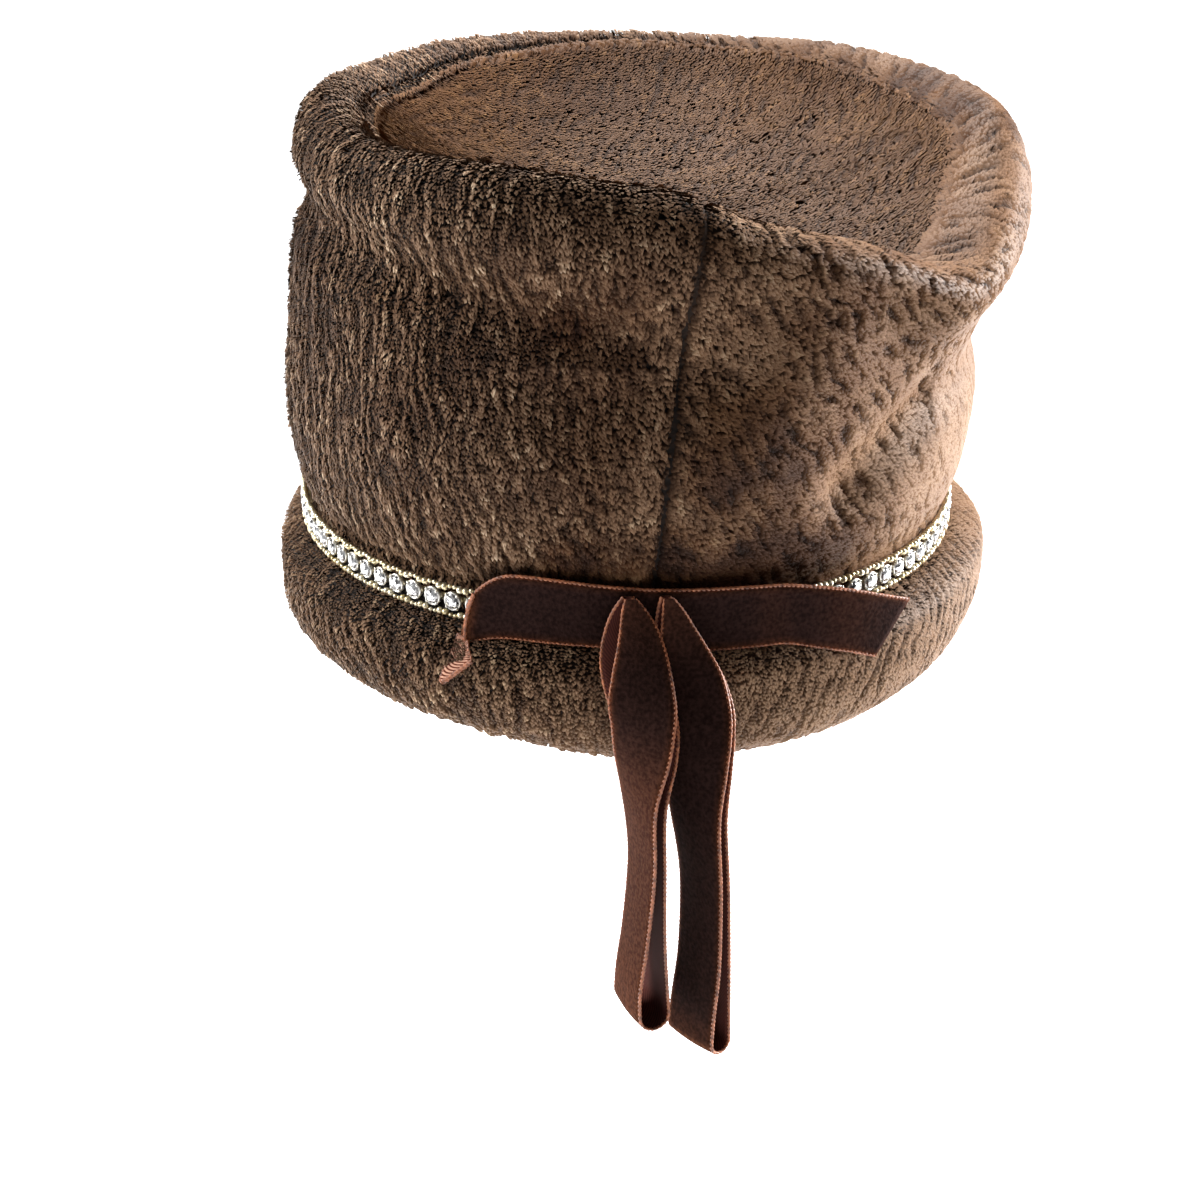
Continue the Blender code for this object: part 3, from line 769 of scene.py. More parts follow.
def lay_pile(
    name, laid, lean_round, lean_up, stand, length, width, light, high, soft, nap, parts, material, seed
):
    """Builds the locks, in as many pieces as parts says. soft is from 0, clumped, to 1, brushed out."""
    chance = np.random.default_rng(seed)
    tilt = (0.42 - 0.28 * soft)[:, None]
    count = len(laid["run"])
    normal = laid["normal"]
    lean = laid["round"] * lean_round[:, None] + laid["up"] * lean_up[:, None]
    lean = normalised(lean)
    side = np.cross(normal, lean)
    length = length * chance.uniform(0.8, 1.2, count)
    width = width * chance.uniform(0.8, 1.25, count)
    root = laid["point"] - normal * (PILE_DEPTH * 1.05)
    middle = laid["point"] + normal * (stand * 0.80)[:, None] + lean * (length * 0.45)[:, None]
    end = laid["point"] + normal * (stand * 0.92)[:, None] + lean * length[:, None]
    points = np.stack([
        root - side * (width * 0.30)[:, None],
        root + side * (width * 0.30)[:, None],
        middle - side * (width * 0.50)[:, None],
        middle + side * (width * 0.50)[:, None],
        end,
    ], 1)
    normals = np.stack([
        normal * 0.5 - lean * 0.4 - side * 0.5,
        normal * 0.5 - lean * 0.4 + side * 0.5,
        normal * 0.8 - side * tilt,
        normal * 0.8 + side * tilt,
        normal * 0.6 + lean * 0.7,
    ], 1)
    calm = (0.65 * soft)[:, None, None]
    normals = normalised(normalised(normals) * (1 - calm) + normal[:, None] * calm)
    pieces = []
    for part in range(parts):
        chosen = np.flatnonzero((laid["turn"] * parts).astype(int) % parts == part)
        number = np.arange(len(chosen))
        faces = (number[:, None, None] * LOCK_POINTS + FACES[None]).reshape(-1, 3)
        label = name if parts == 1 else f"{name}_{part + 1}"
        piece = new_mesh(label, points[chosen], faces, [material])
        steady = 0.6 * soft[chosen, None]
        keep_on_points(
            piece, along=steady + (1 - steady) * ALONGS, shade=np.repeat(light[chosen], LOCK_POINTS),
            nap=np.repeat(nap[chosen], LOCK_POINTS), ridge=np.repeat(high[chosen], LOCK_POINTS),
        )
        mesh = piece.data
        corner = faces.ravel()
        lock, spot = corner // LOCK_POINTS, corner % LOCK_POINTS
        on_lock = np.stack([SIDES[spot], ALONGS[spot]], 1)
        cells = math.ceil(math.sqrt(len(chosen)))
        cell = np.stack([lock % cells, lock // cells], 1)
        atlas = (cell + CELL_MARGIN + CELL_REACH * on_lock) / cells
        shift = chance.uniform(0, 60, (len(chosen), 2))[lock]
        for key, values in (("OFBake", atlas), ("strand", on_lock + shift)):
            mesh.uv_layers.new(name=key).data.foreach_set("uv", values.ravel().astype(np.float32))
        mesh.normals_split_custom_set_from_vertices(normals[chosen].reshape(-1, 3).tolist())
        pieces.append(piece)
    print(name, count, "locks,", count * len(FACES), "triangles")
    return pieces


# %% [markdown]
# ### Pile of the crown's wall
#
# The cloth was cut in one strip and joined at the back seam, which leans to the right as it goes
# up. Left of the seam the ridges hang nearly upright and show golden tips, as painted glints. Right
# of it the pile was brushed out sideways, and lies smooth and high. Where the pile leans away from
# the light it looks darker, as velvet does, and here that is painted shade; a table lists those places.

# %% Wall pile
# Spots of painted shade on the wall, each named for where it lies.
PaintedShadeSpot = namedtuple("PaintedShadeSpot", "name angle rise wide tall depth")
PAINTED_SHADE_SPOTS = (
    # angle and wide are in degrees, rise and tall are shares of the crown's rise
    PaintedShadeSpot("right_of_seam", 13, 0.40, 15, 0.26, 0.95),
    PaintedShadeSpot("right_low", 15, 0.13, 24, 0.15, 1.25),
    PaintedShadeSpot("right_high", 12, 0.80, 16, 0.16, 0.45),
    PaintedShadeSpot("under_right_fold", 36, 0.62, 12, 0.10, 0.40),
    PaintedShadeSpot("hollow", -11, 0.15, 7, 0.10, 1.00),
    PaintedShadeSpot("left_of_seam", -9, 0.45, 8, 0.30, 0.60),
    PaintedShadeSpot("left_of_seam_high", -9, 0.76, 9, 0.16, 0.50),
    PaintedShadeSpot("left_dimple", -18, 0.68, 6, 0.07, 0.80),
    PaintedShadeSpot("left_patch", -36, 0.55, 9, 0.12, 0.45),
    PaintedShadeSpot("left_edge_patch", -68, 0.60, 14, 0.14, 0.50),
    PaintedShadeSpot("left_valley_low", -84, 0.70, 22, 0.07, 0.75),
    PaintedShadeSpot("left_valley_mid", -46, 0.69, 14, 0.06, 0.60),
    PaintedShadeSpot("right_rim", 94, 1.00, 42, 0.21, 0.92),
    PaintedShadeSpot("right_rim_near", 50, 0.98, 18, 0.09, 0.70),
    PaintedShadeSpot("right_puff", 56, 0.72, 26, 0.14, 0.55),
)
SEAM_SLANT = 5.0  # degrees over the crown's rise


def seam_slant(place):
    rise = through(SECTIONS, np.asarray(place, float))[..., 0]
    return SEAM_SLANT * np.clip(rise, 0, 1)


SEAM_GAP = 0.45 * MM  # half of the bare line at the seam
SEAM_DIP, SEAM_REACH = 0.7 * MM, 1.2 * MM
WALL_START, WALL_END = 2.6, SEAM - 0.02  # in rings from the hem

wall = lay_out(crown, WALL_START, WALL_END, LOCK_SPACING, seam_slant, 11)
open_seam = np.abs(off_by(wall["turn"] * 360.0, 0)) * math.radians(1) * MEAN_RADIUS < SEAM_GAP
wall = {key: value[~open_seam] for key, value in wall.items()}
chance = np.random.default_rng(12)
run, climb = wall["run"], wall["climb"]
around = wall["turn"] * 360.0
right = brushed_out(around)
rise = through(SECTIONS, wall["place"])[:, 0]
to_seam = off_by(around, 0)
near_seam = np.exp(-(to_seam * math.radians(1) * MEAN_RADIUS / SEAM_REACH) ** 2)

# How high the pile stands: ridges at the left, brushed pile at the right, and low at the seam.
high = ridges(run, climb, math.radians(14), RIDGE_PITCH, 1.3, 20)
slanted = combed(run, climb, math.radians(38), 5.4 * MM, 24)
lit_edge = np.exp(-((around - 72) / 34) ** 2 - ((rise - 0.28) / 0.26) ** 2)
slanted = slanted * (1 - 0.6 * lit_edge) + 0.54 * lit_edge
high = high * (1 - right) + (0.02 + 0.80 * slanted) * right
high = high * (1 - near_seam)
wall["point"] = wall["point"] - wall["normal"] * (SEAM_DIP * near_seam)[:, None]
stand = (0.10 + 1.75 * high) * MM * (1 - 0.8 * near_seam)

# Painted shade where it leans away from the light: over the brushed side, and in the listed spots.
nap = 0.66 * right * (1 - 0.85 * lit_edge)
for spot in PAINTED_SHADE_SPOTS:
    across = off_by(around, spot.angle) / spot.wide
    nap = np.maximum(nap, spot.depth * np.exp(-across**2 - ((rise - spot.rise) / spot.tall) ** 2))
nap = np.clip(nap * (1 + 0.5 * clouds(run / (13 * MM), climb / (15 * MM), 37)), 0, 0.95)

# Which way it leans, and how light it is: random tone, painted glints on the ridges, and painted shade
# in the grooves and on the brushed side.
curl = uneven(run, climb, 2.8, 2.8, 0.9, 30, 0.16, chance)
heading = np.radians(-72 + 54 * eased((to_seam + 20) / 40) * (around < 205)) + curl
over_seam = 3.0 * eased((wall["place"] - SEAM + 0.7) / 0.6)
light = np.clip(0.42 + uneven(run, climb, 2.2, 3.2, 1.6, 33, 0.12, chance), 0, 1)
light = np.clip(light * (0.55 + 0.6 * high) * (1 - 0.4 * right), 0, 1)
wall_pile = lay_pile(
    "crown_pile", wall, lean_round=np.cos(heading), lean_up=np.sin(heading) + over_seam,
    stand=stand, length=(1.3 + 0.75 * high + 0.2 * right) * MM, width=(0.95 + 0.35 * right) * MM,
    light=light, high=high, soft=right, nap=nap, parts=3, material=crown_pile, seed=13,
)

# %% [markdown]
# ### Pile of the top and of the cuff
#
# The top's pile is brushed out all over, towards the front, and leans over its seam at the edge.
# The cuff's ridges stand upright at the left, and it is brushed out at the right.

# %% Top and cuff pile
TIP_REACH = 3.97  # in rings from the top's seam, nearly to its middle
top = lay_out(tip, 0.0, TIP_REACH, LOCK_SPACING, upright, 21)
x, y = top["point"][:, 0], top["point"][:, 1]
high = 0.22 + 0.58 * combed(x, y, math.radians(-20), 4.4 * MM, 40)
chance = np.random.default_rng(22)
heading = math.radians(-52) + uneven(x, y, 3, 3, 0.5, 45, 0.15, chance)
direction = np.stack([np.cos(heading), np.sin(heading), np.zeros(len(high))], 1)
to_edge = 3.0 * np.exp(-(top["place"] / 0.12) ** 2)
light = np.clip(0.5 + uneven(x, y, 4, 4, 0.8, 47, 0.2, chance), 0, 1)
alike = np.ones(len(high))
# The whole top gets an even painted shade.
top_pile = lay_pile(
    "tip_pile", top, lean_round=(direction * top["round"]).sum(1),
    lean_up=(direction * top["up"]).sum(1) - to_edge,
    stand=(0.45 + 0.95 * high) * MM, length=(1.2 + 0.4 * high) * MM,
    width=1.60 * MM * alike, light=light, high=high, soft=alike, nap=0.69 * alike,
    parts=1, material=tip_pile, seed=23,
)

CUFF_START, CUFF_END = 0.55, 6.6  # in rows from the cuff's lower fold
rolled = lay_out(cuff, CUFF_START, CUFF_END, LOCK_SPACING, upright, 31)
run, climb = rolled["run"], rolled["climb"]
high = ridges(run, climb, math.radians(12), 4.6 * MM, 1.2, 60)
brushed_high = 0.15 + 0.65 * combed(run, climb, math.radians(-14), 5.0 * MM, 68)
chance = np.random.default_rng(32)
heading = math.radians(-80) + uneven(run, climb, 2.8, 2.8, 0.8, 65, 0.16, chance)
cuff_soft = 0.9 * brushed_out(rolled["turn"] * 360.0)
high = high * (1 - cuff_soft) + brushed_high * cuff_soft
light = np.clip(0.42 + uneven(run, climb, 2.2, 3.2, 1.4, 67, 0.12, chance), 0, 1)
# Where the cuff is brushed out it gets fewer painted glints, and painted shade.
rolled_pile = lay_pile(
    "cuff_pile", rolled, lean_round=np.cos(heading), lean_up=np.sin(heading),
    stand=(0.10 + 1.55 * high) * MM, length=(1.05 + 0.50 * high) * MM,
    width=(0.95 + 0.30 * cuff_soft) * MM, light=light * (1 - 0.6 * cuff_soft), high=high,
    soft=cuff_soft, nap=0.38 * cuff_soft, parts=1, material=cuff_pile, seed=33,
)

# %% [markdown]
# ## The trim
#
# Rhinestone banding is a row of foiled crystals in cups of rhodium-plated brass, with gold-plated
# ball chain along both edges. The stones stand 6.3 mm apart.

# %% Trim materials
def metal_material(name, dark, light, roughness):
    material, shader = new_material(name, Metallic=0.85, Roughness=roughness)
    wear = noise(material, own_place(material), 220.0, 2.0)
    wire(material, ramp(material, wear, (0.3, dark), (0.7, light)), shader.inputs["Base Color"])
    return material


gold = metal_material("brass, cast and gold-plated", "#d8c593", "#fff6dc", 0.30)
silver = metal_material("brass, stamped and rhodium-plated", "#cfcbc3", "#f6f4ee", 0.30)

crystal, crystal_shader = new_material(
    "glass, cut and foil-backed", Metallic=0.7, Roughness=0.05, Coat_Weight=1.0
)
# Each facet is lighter or darker at random, as painted reflections of the cut stone.
painted_facet_reflections = ramp(
    crystal, attribute(crystal, "facet"),
    (0.0, "#4c4a4c"), (0.30, "#a2a0a0"), (0.55, "#e4e4e8"), (1.0, "#ffffff"),
)
wire(crystal, painted_facet_reflections, crystal_shader.inputs["Base Color"])
CRYSTAL, GOLD, SILVER = 0, 1, 2  # the trim's material slots

# %% [markdown]
# The round things are turned from profiles: rings of points round an axis. A ring of no radius is
# one point, and closes the shape.

# %% Turned shapes
def turned(profile, sides):
    """Points and triangles of a profile of (radius, height, turn in sides) round the out axis."""
    points, faces = [], []
    for radius, height, offset in profile:
        if radius == 0:
            points.append([(0.0, 0.0, height)])
        else:
            angles = (np.arange(sides) + offset) * math.tau / sides
            points.append([(radius * math.cos(a), radius * math.sin(a), height) for a in angles])
    starts = np.cumsum([0] + [len(ring) for ring in points])
    for index in range(len(points) - 1):
        low, high = points[index], points[index + 1]
        for step in range(sides):
            after = (step + 1) % sides
            here, beside = starts[index] + step, starts[index] + after
            over, over_beside = starts[index + 1] + step, starts[index + 1] + after
            if len(high) == 1:
                faces.append((here, beside, starts[index + 1]))
            elif len(low) == 1:
                faces.append((starts[index], over_beside, over))
            else:
                faces += [(here, beside, over), (beside, over_beside, over)]
    return np.array([point for ring in points for point in ring]), np.array(faces)


BEAD_RINGS, BEAD_SIDES = 6, 8


def bead(radius, x, y, height):
    angles = np.linspace(0, math.pi, BEAD_RINGS)
    profile = [(radius * math.sin(a), -radius * math.cos(a), 0.0) for a in angles]
    profile[0], profile[-1] = (0, -radius, 0.0), (0, radius, 0.0)
    points, faces = turned(profile, BEAD_SIDES)
    return points + np.array([x, y, height]), faces


STONE_RADIUS = 2.05 * MM
STONE_SIDES, CUP_SIDES = 12, 20
STONE_PROFILE = [
    # radius, height, turn in sides
    (STONE_RADIUS * 0.98, 1.5 * MM, 0.0), (STONE_RADIUS, 2.0 * MM, 0.0),
    (STONE_RADIUS * 0.80, 2.55 * MM, 0.5), (STONE_RADIUS * 0.52, 2.9 * MM, 0.0), (0, 2.92 * MM, 0.0),
]
CUP_PROFILE = [
    (1.8 * MM, 0.6 * MM, 0), (2.35 * MM, 0.9 * MM, 0), (2.55 * MM, 1.9 * MM, 0),
    (2.4 * MM, 2.25 * MM, 0), (2.12 * MM, 2.1 * MM, 0), (2.0 * MM, 1.4 * MM, 0),
]
stone, cup = turned(STONE_PROFILE, STONE_SIDES), turned(CUP_PROFILE, CUP_SIDES)
print(len(stone[1]), "facets a stone,", len(cup[1]), "triangles a cup")

# %% [markdown]
# One unit of the trim is a stone in its cup with four prongs, and the beads of both chains. The
# unit is set round the oval, with its height along the outward direction.

# %% The trim's units
PRONG_RADIUS, PRONG_REACH, PRONG_HEIGHT = 0.40 * MM, 2.30 * MM, 2.25 * MM
LARGE_BEAD, SMALL_BEAD = 1.00 * MM, 0.64 * MM
LARGE_INSET, SMALL_INSET = 0.75 * MM, 0.30 * MM  # from the banding's edge
BEAD_HEIGHT = 1.75 * MM

parts, part_slots = [stone, cup], [CRYSTAL, SILVER]
for angle in np.radians([45, 135, 225, 315]):
    prong_x, prong_y = PRONG_REACH * math.cos(angle), PRONG_REACH * math.sin(angle)
    parts.append(bead(PRONG_RADIUS, prong_x, prong_y, PRONG_HEIGHT))
    part_slots.append(SILVER)
for edge in (-1, 1):
    for share, radius, inset in (
        (-0.37, LARGE_BEAD, LARGE_INSET), (-0.12, SMALL_BEAD, SMALL_INSET),
        (0.12, SMALL_BEAD, SMALL_INSET), (0.37, LARGE_BEAD, LARGE_INSET),
    ):
        parts.append(bead(radius, share * STONE_PITCH, edge * (TRIM_WIDTH / 2 - inset), BEAD_HEIGHT))
        part_slots.append(GOLD)
unit_points, unit_faces = joined(parts)
unit_slots = np.repeat(part_slots, [len(faces) for _, faces in parts])

fine = np.arange(0, 360, 0.25)
line = np.stack(oval(fine, 0.5 * MM), 1)
travel = walked(np.append(line, line[:1], 0))
stones = 2 * round(travel[-1] / (2 * STONE_PITCH))
spots = np.interp(np.arange(stones) / stones * travel[-1], travel, np.append(fine, 360.0))
stretch = travel[-1] / stones / STONE_PITCH
along_unit, up_unit, out_unit = unit_points[:, :1] * stretch, unit_points[:, 1:2], unit_points[:, 2:3]
placed = []
for spot in spots:
    x, y = oval(spot, 0.5 * MM)
    outer_x, outer_y = oval(spot, 1.5 * MM)
    out = np.array([outer_x - x, outer_y - y, 0]) / MM
    beside = np.array([-out[1], out[0], 0])
    points = np.array([x, y, TRIM_LEVEL]) + along_unit * beside + up_unit * np.array([0, 0, 1.0])
    placed.append((points + out_unit * out, unit_faces))

# The strip that the cups are set on. Its rings are given in millimetres.
STRIP_RINGS = (
    # out, level
    (0.5, -0.9), (0.8, -0.9), (0.9, 0.0), (0.8, 0.9), (0.5, 0.9), (0.45, 0.0), (0.5, -0.9),
)
band_degrees = np.arange(360.0)
rings = []
for out, level in STRIP_RINGS:
    x, y = oval(band_degrees, out * MM)
    rings.append(np.stack([x, y, np.full(len(x), TRIM_LEVEL + level * MM)], 1))
quads = grid_faces(len(band_degrees), len(rings), True)
strip_faces = np.concatenate([quads[:, [0, 1, 2]], quads[:, [0, 2, 3]]])
placed.append((np.stack(rings, 1).reshape(-1, 3), strip_faces))
trim_points, trim_faces = joined(placed)
trim = new_mesh("trim_look", trim_points, trim_faces, [crystal, gold, silver])
slots = np.concatenate([np.tile(unit_slots, stones), np.full(len(strip_faces), GOLD)])
trim.data.polygons.foreach_set("material_index", slots.astype(np.int32))
trim.data.polygons.foreach_set("use_smooth", slots.astype(bool))
facets = trim.data.attributes.new("facet", "FLOAT", "FACE")
facets.data.foreach_set("value", np.random.default_rng(41).uniform(0, 1, len(slots)).astype(np.float32))
trim.data.update()
print(stones, "stones,", len(slots), "triangles")

# %% [markdown]
# ## The ribbon
#
# The bow is 16 mm (5/8 inch) velvet ribbon. Its face is cut pile, its back a twill, and each long
# edge has a woven selvage about 1 mm wide that catches the light.

# %% Ribbon materials
velvet, velvet_shader = new_material(
    "velvet ribbon, woven and cut, dark brown", Sheen_Weight=0.16, Sheen_Roughness=0.30,
    Sheen_Tint=linear("#98583c"), Specular_IOR_Level=0.05, Roughness=0.9,
)
across = attribute(velvet, "across")
to_side = add(velvet, "ShaderNodeMath", {0: across}, operation="ABSOLUTE").outputs[0]
# Lighter towards the edges: the selvage's own colour, and painted sheen where the velvet turns at its
# edges.
face = ramp(velvet, to_side, (0.0, "#281916"), (0.72, "#2b1b18"), (0.90, "#372017"), (1.0, "#633521"))
nap = noise(velvet, own_place(velvet), 1050.0, 3.0)
face = blend(velvet, attribute(velvet, "glow"), face, "#70422a")
face = shaded(velvet, face, 0.8, nap, (0.36, "#8e807c"), (0.64, "#ffffff"))
wire(velvet, face, velvet_shader.inputs["Base Color"])
emboss(velvet, velvet_shader, nap, 0.6, 0.0004)


def twill_material(name, dark, light, half_width, pitch):
    """Slanting lines a pitch apart, across a strip of that half width. Both are in millimetres."""
    material, shader = new_material(name, Roughness=0.9, Specular_IOR_Level=0.1)
    across, length = attribute(material, "across"), attribute(material, "length")
    slope = add(material, "ShaderNodeMath", {0: across, 2: length}, operation="MULTIPLY_ADD")
    slope.inputs[1].default_value = half_width
    lines = add(material, "ShaderNodeMath", {0: slope.outputs[0]}, operation="MULTIPLY")
    lines.inputs[1].default_value = math.tau / pitch
    wave = add(material, "ShaderNodeMath", {0: lines.outputs[0]}, operation="SINE").outputs[0]
    wave = add(material, "ShaderNodeMapRange", {"Value": wave}, **{"From Min": -1.0}).outputs["Result"]
    wire(material, ramp(material, wave, (0.25, dark), (0.7, light)), shader.inputs["Base Color"])
    return material


FLAP_HALF_WIDTH = 3.0  # where it ends, in millimetres
# A darker copy of the twill, as painted shade, for the backs of the band and loops.
twill_in_painted_shade = twill_material(
    "velvet ribbon's back, twill woven", "#442420", "#573029", RIBBON_WIDTH / 2 / MM, 1.1
)
flap_twill = twill_material(
    "velvet ribbon's back, twill woven, in the light", "#5a2a1e", "#c79880", FLAP_HALF_WIDTH, 0.75
)

woven, woven_shader = new_material(
    "ribbon selvage, woven, red brown", Roughness=0.45, Specular_IOR_Level=0.5,
    Sheen_Weight=0.1, Sheen_Roughness=0.4, Sheen_Tint=linear("#c77b58"),
)
threads = noise(woven, own_place(woven), 900.0, 2.0)
woven_colour = ramp(woven, threads, (0.3, "#552a15"), (0.7, "#b06a44"))
wire(woven, woven_colour, woven_shader.inputs["Base Color"])
emboss(woven, woven_shader, threads, 0.5, 0.0002)

# %% [markdown]
# A ribbon is a strip between two edge lines. It is bowed a little across its width, and keeps how
# far each point is across and along, in millimetres, for the material. A fine cord of woven
# stitches, 1.2 mm long, runs along each edge.

# %% Ribbon helper
SELVAGE_RADIUS = 0.42 * MM
SELVAGE_SIDES = 6
SELVAGE_STEP = 0.3 * MM
STITCH = 1.2 * MM
VELVET_THICKNESS = 0.7 * MM
selvages = []


def selvage(line, normal, thickness=1.0):
    """Points and faces of a stitched cord along an edge line."""
    gone = walked(line)
    steps = np.linspace(0, gone[-1], max(3, int(gone[-1] / SELVAGE_STEP)))
    line = np.stack([np.interp(steps, gone, line[:, axis]) for axis in range(3)], 1)
    normal = np.stack([np.interp(steps, gone, normal[:, axis]) for axis in range(3)], 1)
    forward = normalised(np.gradient(line, axis=0))
    beside = normalised(np.cross(forward, normal))
    over = np.cross(beside, forward)
    sides = np.arange(SELVAGE_SIDES)
    angles = sides * math.tau / SELVAGE_SIDES
    swing = steps[:, None] / STITCH * math.tau + angles[None, :]
    radius = SELVAGE_RADIUS * thickness * (1 + 0.22 * np.sin(swing))
    across_part = np.cos(angles)[None, :, None] * beside[:, None]
    ring = across_part + np.sin(angles)[None, :, None] * over[:, None]
    points = line[:, None] + ring * radius[..., None]
    start = np.arange(len(steps) - 1)[:, None] * SELVAGE_SIDES
    here, next_side = start + sides[None, :], start + (sides[None, :] + 1) % SELVAGE_SIDES
    faces = np.stack([here, next_side, next_side + SELVAGE_SIDES, here + SELVAGE_SIDES], -1)
    return points.reshape(-1, 3), faces.reshape(-1, 4)


def ribbon(name, lower, upper, glow, bow=0.0, columns=13, back=twill_in_painted_shade):
    """A strip between two lines of points, with its velvet face outwards. glow is, for each point of
    the lines, how far the velvet is turned to the light."""
    shares = np.linspace(0, 1, columns)
    points = lower[:, None] * (1 - shares)[None, :, None] + upper[:, None] * shares[None, :, None]
    normal = normals_of(points, closed=False)
    points = points + normal * (bow * (1 - (2 * shares - 1) ** 2))[None, :, None]
    for edge in (0, -1):
        selvages.append(selvage(points[:, edge], normal[:, edge]))
    gone = walked(points[:, columns // 2])
    piece = new_mesh(name, points, grid_faces(len(lower), columns, False), [velvet, back])
    keep_on_points(
        piece, across=np.tile(2 * shares - 1, len(lower)), length=np.repeat(gone * 1000, columns),
        glow=np.repeat(glow, columns),
    )
    thicken(piece, VELVET_THICKNESS, 1, 0.0)
    piece.modifiers["thickness"].material_offset_rim = 0
    return piece, gone[-1]


# %% [markdown]
# The band lies over the trim. Its two edges are given in ribbon widths: round the hat from the
# back seam, out from the groove, and up from the trim's middle.

# %% The band
BAND = np.array([
    # upper edge's along, out, level, then the lower edge's
    (-2.791, 0.354, -0.024, -2.904, 0.329, -0.436), (-2.734, 0.418, 0.114, -2.867, 0.392, -0.472),
    (-2.657, 0.443, 0.276, -2.785, 0.430, -0.489), (-2.533, 0.437, 0.450, -2.681, 0.418, -0.462),
    (-2.358, 0.424, 0.604, -2.542, 0.392, -0.417), (-2.143, 0.405, 0.717, -2.336, 0.373, -0.357),
    (-1.885, 0.392, 0.752, -2.040, 0.354, -0.320), (-1.350, 0.380, 0.740, -1.450, 0.360, -0.310),
    (-0.65, 0.36, 0.68, -0.65, 0.35, -0.32), (0.00, 0.38, 0.64, 0.00, 0.36, -0.36),
    (0.93, 0.41, 0.61, 0.98, 0.41, -0.40), (1.50, 0.46, 0.59, 1.56, 0.45, -0.41),
    (1.95, 0.51, 0.56, 2.04, 0.52, -0.42), (2.45, 0.60, 0.46, 2.55, 0.63, -0.58),
    (3.05, 0.74, 0.29, 3.00, 0.73, -0.73), (3.98, 0.92, -0.09, 3.42, 0.82, -0.91),
])
BAND_PLACES, FLAP_PLACES = 97, 25
rows = through(BAND, np.linspace(0, len(BAND) - 1, BAND_PLACES)) * RIBBON_WIDTH


def band_line(along, out, level):
    """A line round the trim. along and out go by the oval, and level by the trim's middle."""
    degrees = np.interp(along % travel[-1], travel, np.append(fine, 360.0))
    x, y = oval(degrees, out)
    return np.stack([x, y, TRIM_LEVEL + level], 1)


spot = rows[:, 0] / RIBBON_WIDTH
band_glow = 0.80 * np.exp(-((spot + 2.72) / 0.15) ** 2) + 0.08 * np.exp(-((spot - 1.75) / 0.25) ** 2)
band_glow += 0.12 * np.exp(-((spot - 3.0) / 0.5) ** 2)
band, band_length = ribbon("band_look", band_line(*rows.T[3:]), band_line(*rows.T[:3]), band_glow)
print(f"band {band_length * 1000:.0f} mm long")

# %% [markdown]
# At its left end the ribbon turns over, and its twill back shows in a small flap with a frayed cut.
# A short line of stitches closes the turned edge.

# %% The flap
FLAP = np.array([
    # left edge's along, out, level, then the right edge's
    (-2.910, 0.418, -0.386, -2.737, 0.440, -0.440), (-2.966, 0.582, -0.733, -2.651, 0.570, -0.558),
    (-3.020, 0.759, -1.040, -2.587, 0.633, -0.629), (-2.975, 0.800, -1.100, -2.553, 0.671, -0.680),
])
rows = through(FLAP, np.linspace(0, len(FLAP) - 1, FLAP_PLACES)) * RIBBON_WIDTH
flap_left, flap_right = band_line(*rows.T[:3]), band_line(*rows.T[3:])
flap, _ = ribbon(
    "band_flap", flap_right, flap_left, np.zeros(len(rows)), columns=9, back=flap_twill
)
cut = flap_left[-1] + (flap_right[-1] - flap_left[-1]) * np.linspace(0, 1, 12)[:, None]
selvages.append(selvage(cut, np.tile([0.0, -1.0, 0.3], (len(cut), 1)), 1.5))
RIM_STITCH = np.array([
    # along, out, level
    (-2.60, 0.47, 0.38), (-2.70, 0.47, 0.10), (-2.76, 0.47, -0.20), (-2.78, 0.47, -0.52),
])
rim = band_line(*(RIM_STITCH * RIBBON_WIDTH).T)
selvages.append(selvage(rim, np.tile([-0.4, -0.9, 0.0], (len(rim), 1)), 1.2))

# %% [markdown]
# The loops hang from the band's middle. Each is one strip, gathered where it is sewn on, that goes
# down, turns at its bend, and comes up behind itself.

# %% The loops
LOOP_TOP, LOOP_SPACING, LOOP_STAND, LOOP_GAP = 0.009, 0.0115, 0.0205, 0.0033
LEFT_DROP, RIGHT_DROP = 0.1085, 0.1180
LOOP_ROWS, BEND_STEPS = 70, 18
LEFT_LOOP = np.array([
    # drop, side, stand, turn, gap, width, lag
    (0.000, -0.17, 0.40, 0, 0.20, 0.14, 0.04), (0.026, -0.12, 0.42, 0, 0.26, 0.34, 0.12),
    (0.060, -0.06, 0.47, 0, 0.32, 0.52, 0.20), (0.105, -0.02, 0.57, 2, 0.36, 0.70, 0.24),
    (0.152, -0.01, 0.70, 7, 0.42, 0.86, 0.20), (0.213, 0.00, 0.90, 16, 0.50, 1.02, 0.08),
    (0.270, 0.02, 0.98, 26, 0.52, 1.00, 0.01), (0.330, 0.02, 1.00, 38, 0.50, 1.00, 0.00),
    (0.440, 0.00, 1.00, 62, 0.44, 1.00, 0.00), (0.600, 0.06, 1.00, 70, 0.42, 1.00, 0.00),
    (0.780, 0.03, 1.00, 72, 0.72, 1.00, 0.00), (0.900, 0.00, 1.00, 72, 1.10, 1.00, 0.00),
    (0.970, 0.00, 1.00, 70, 1.20, 1.00, 0.00),
])
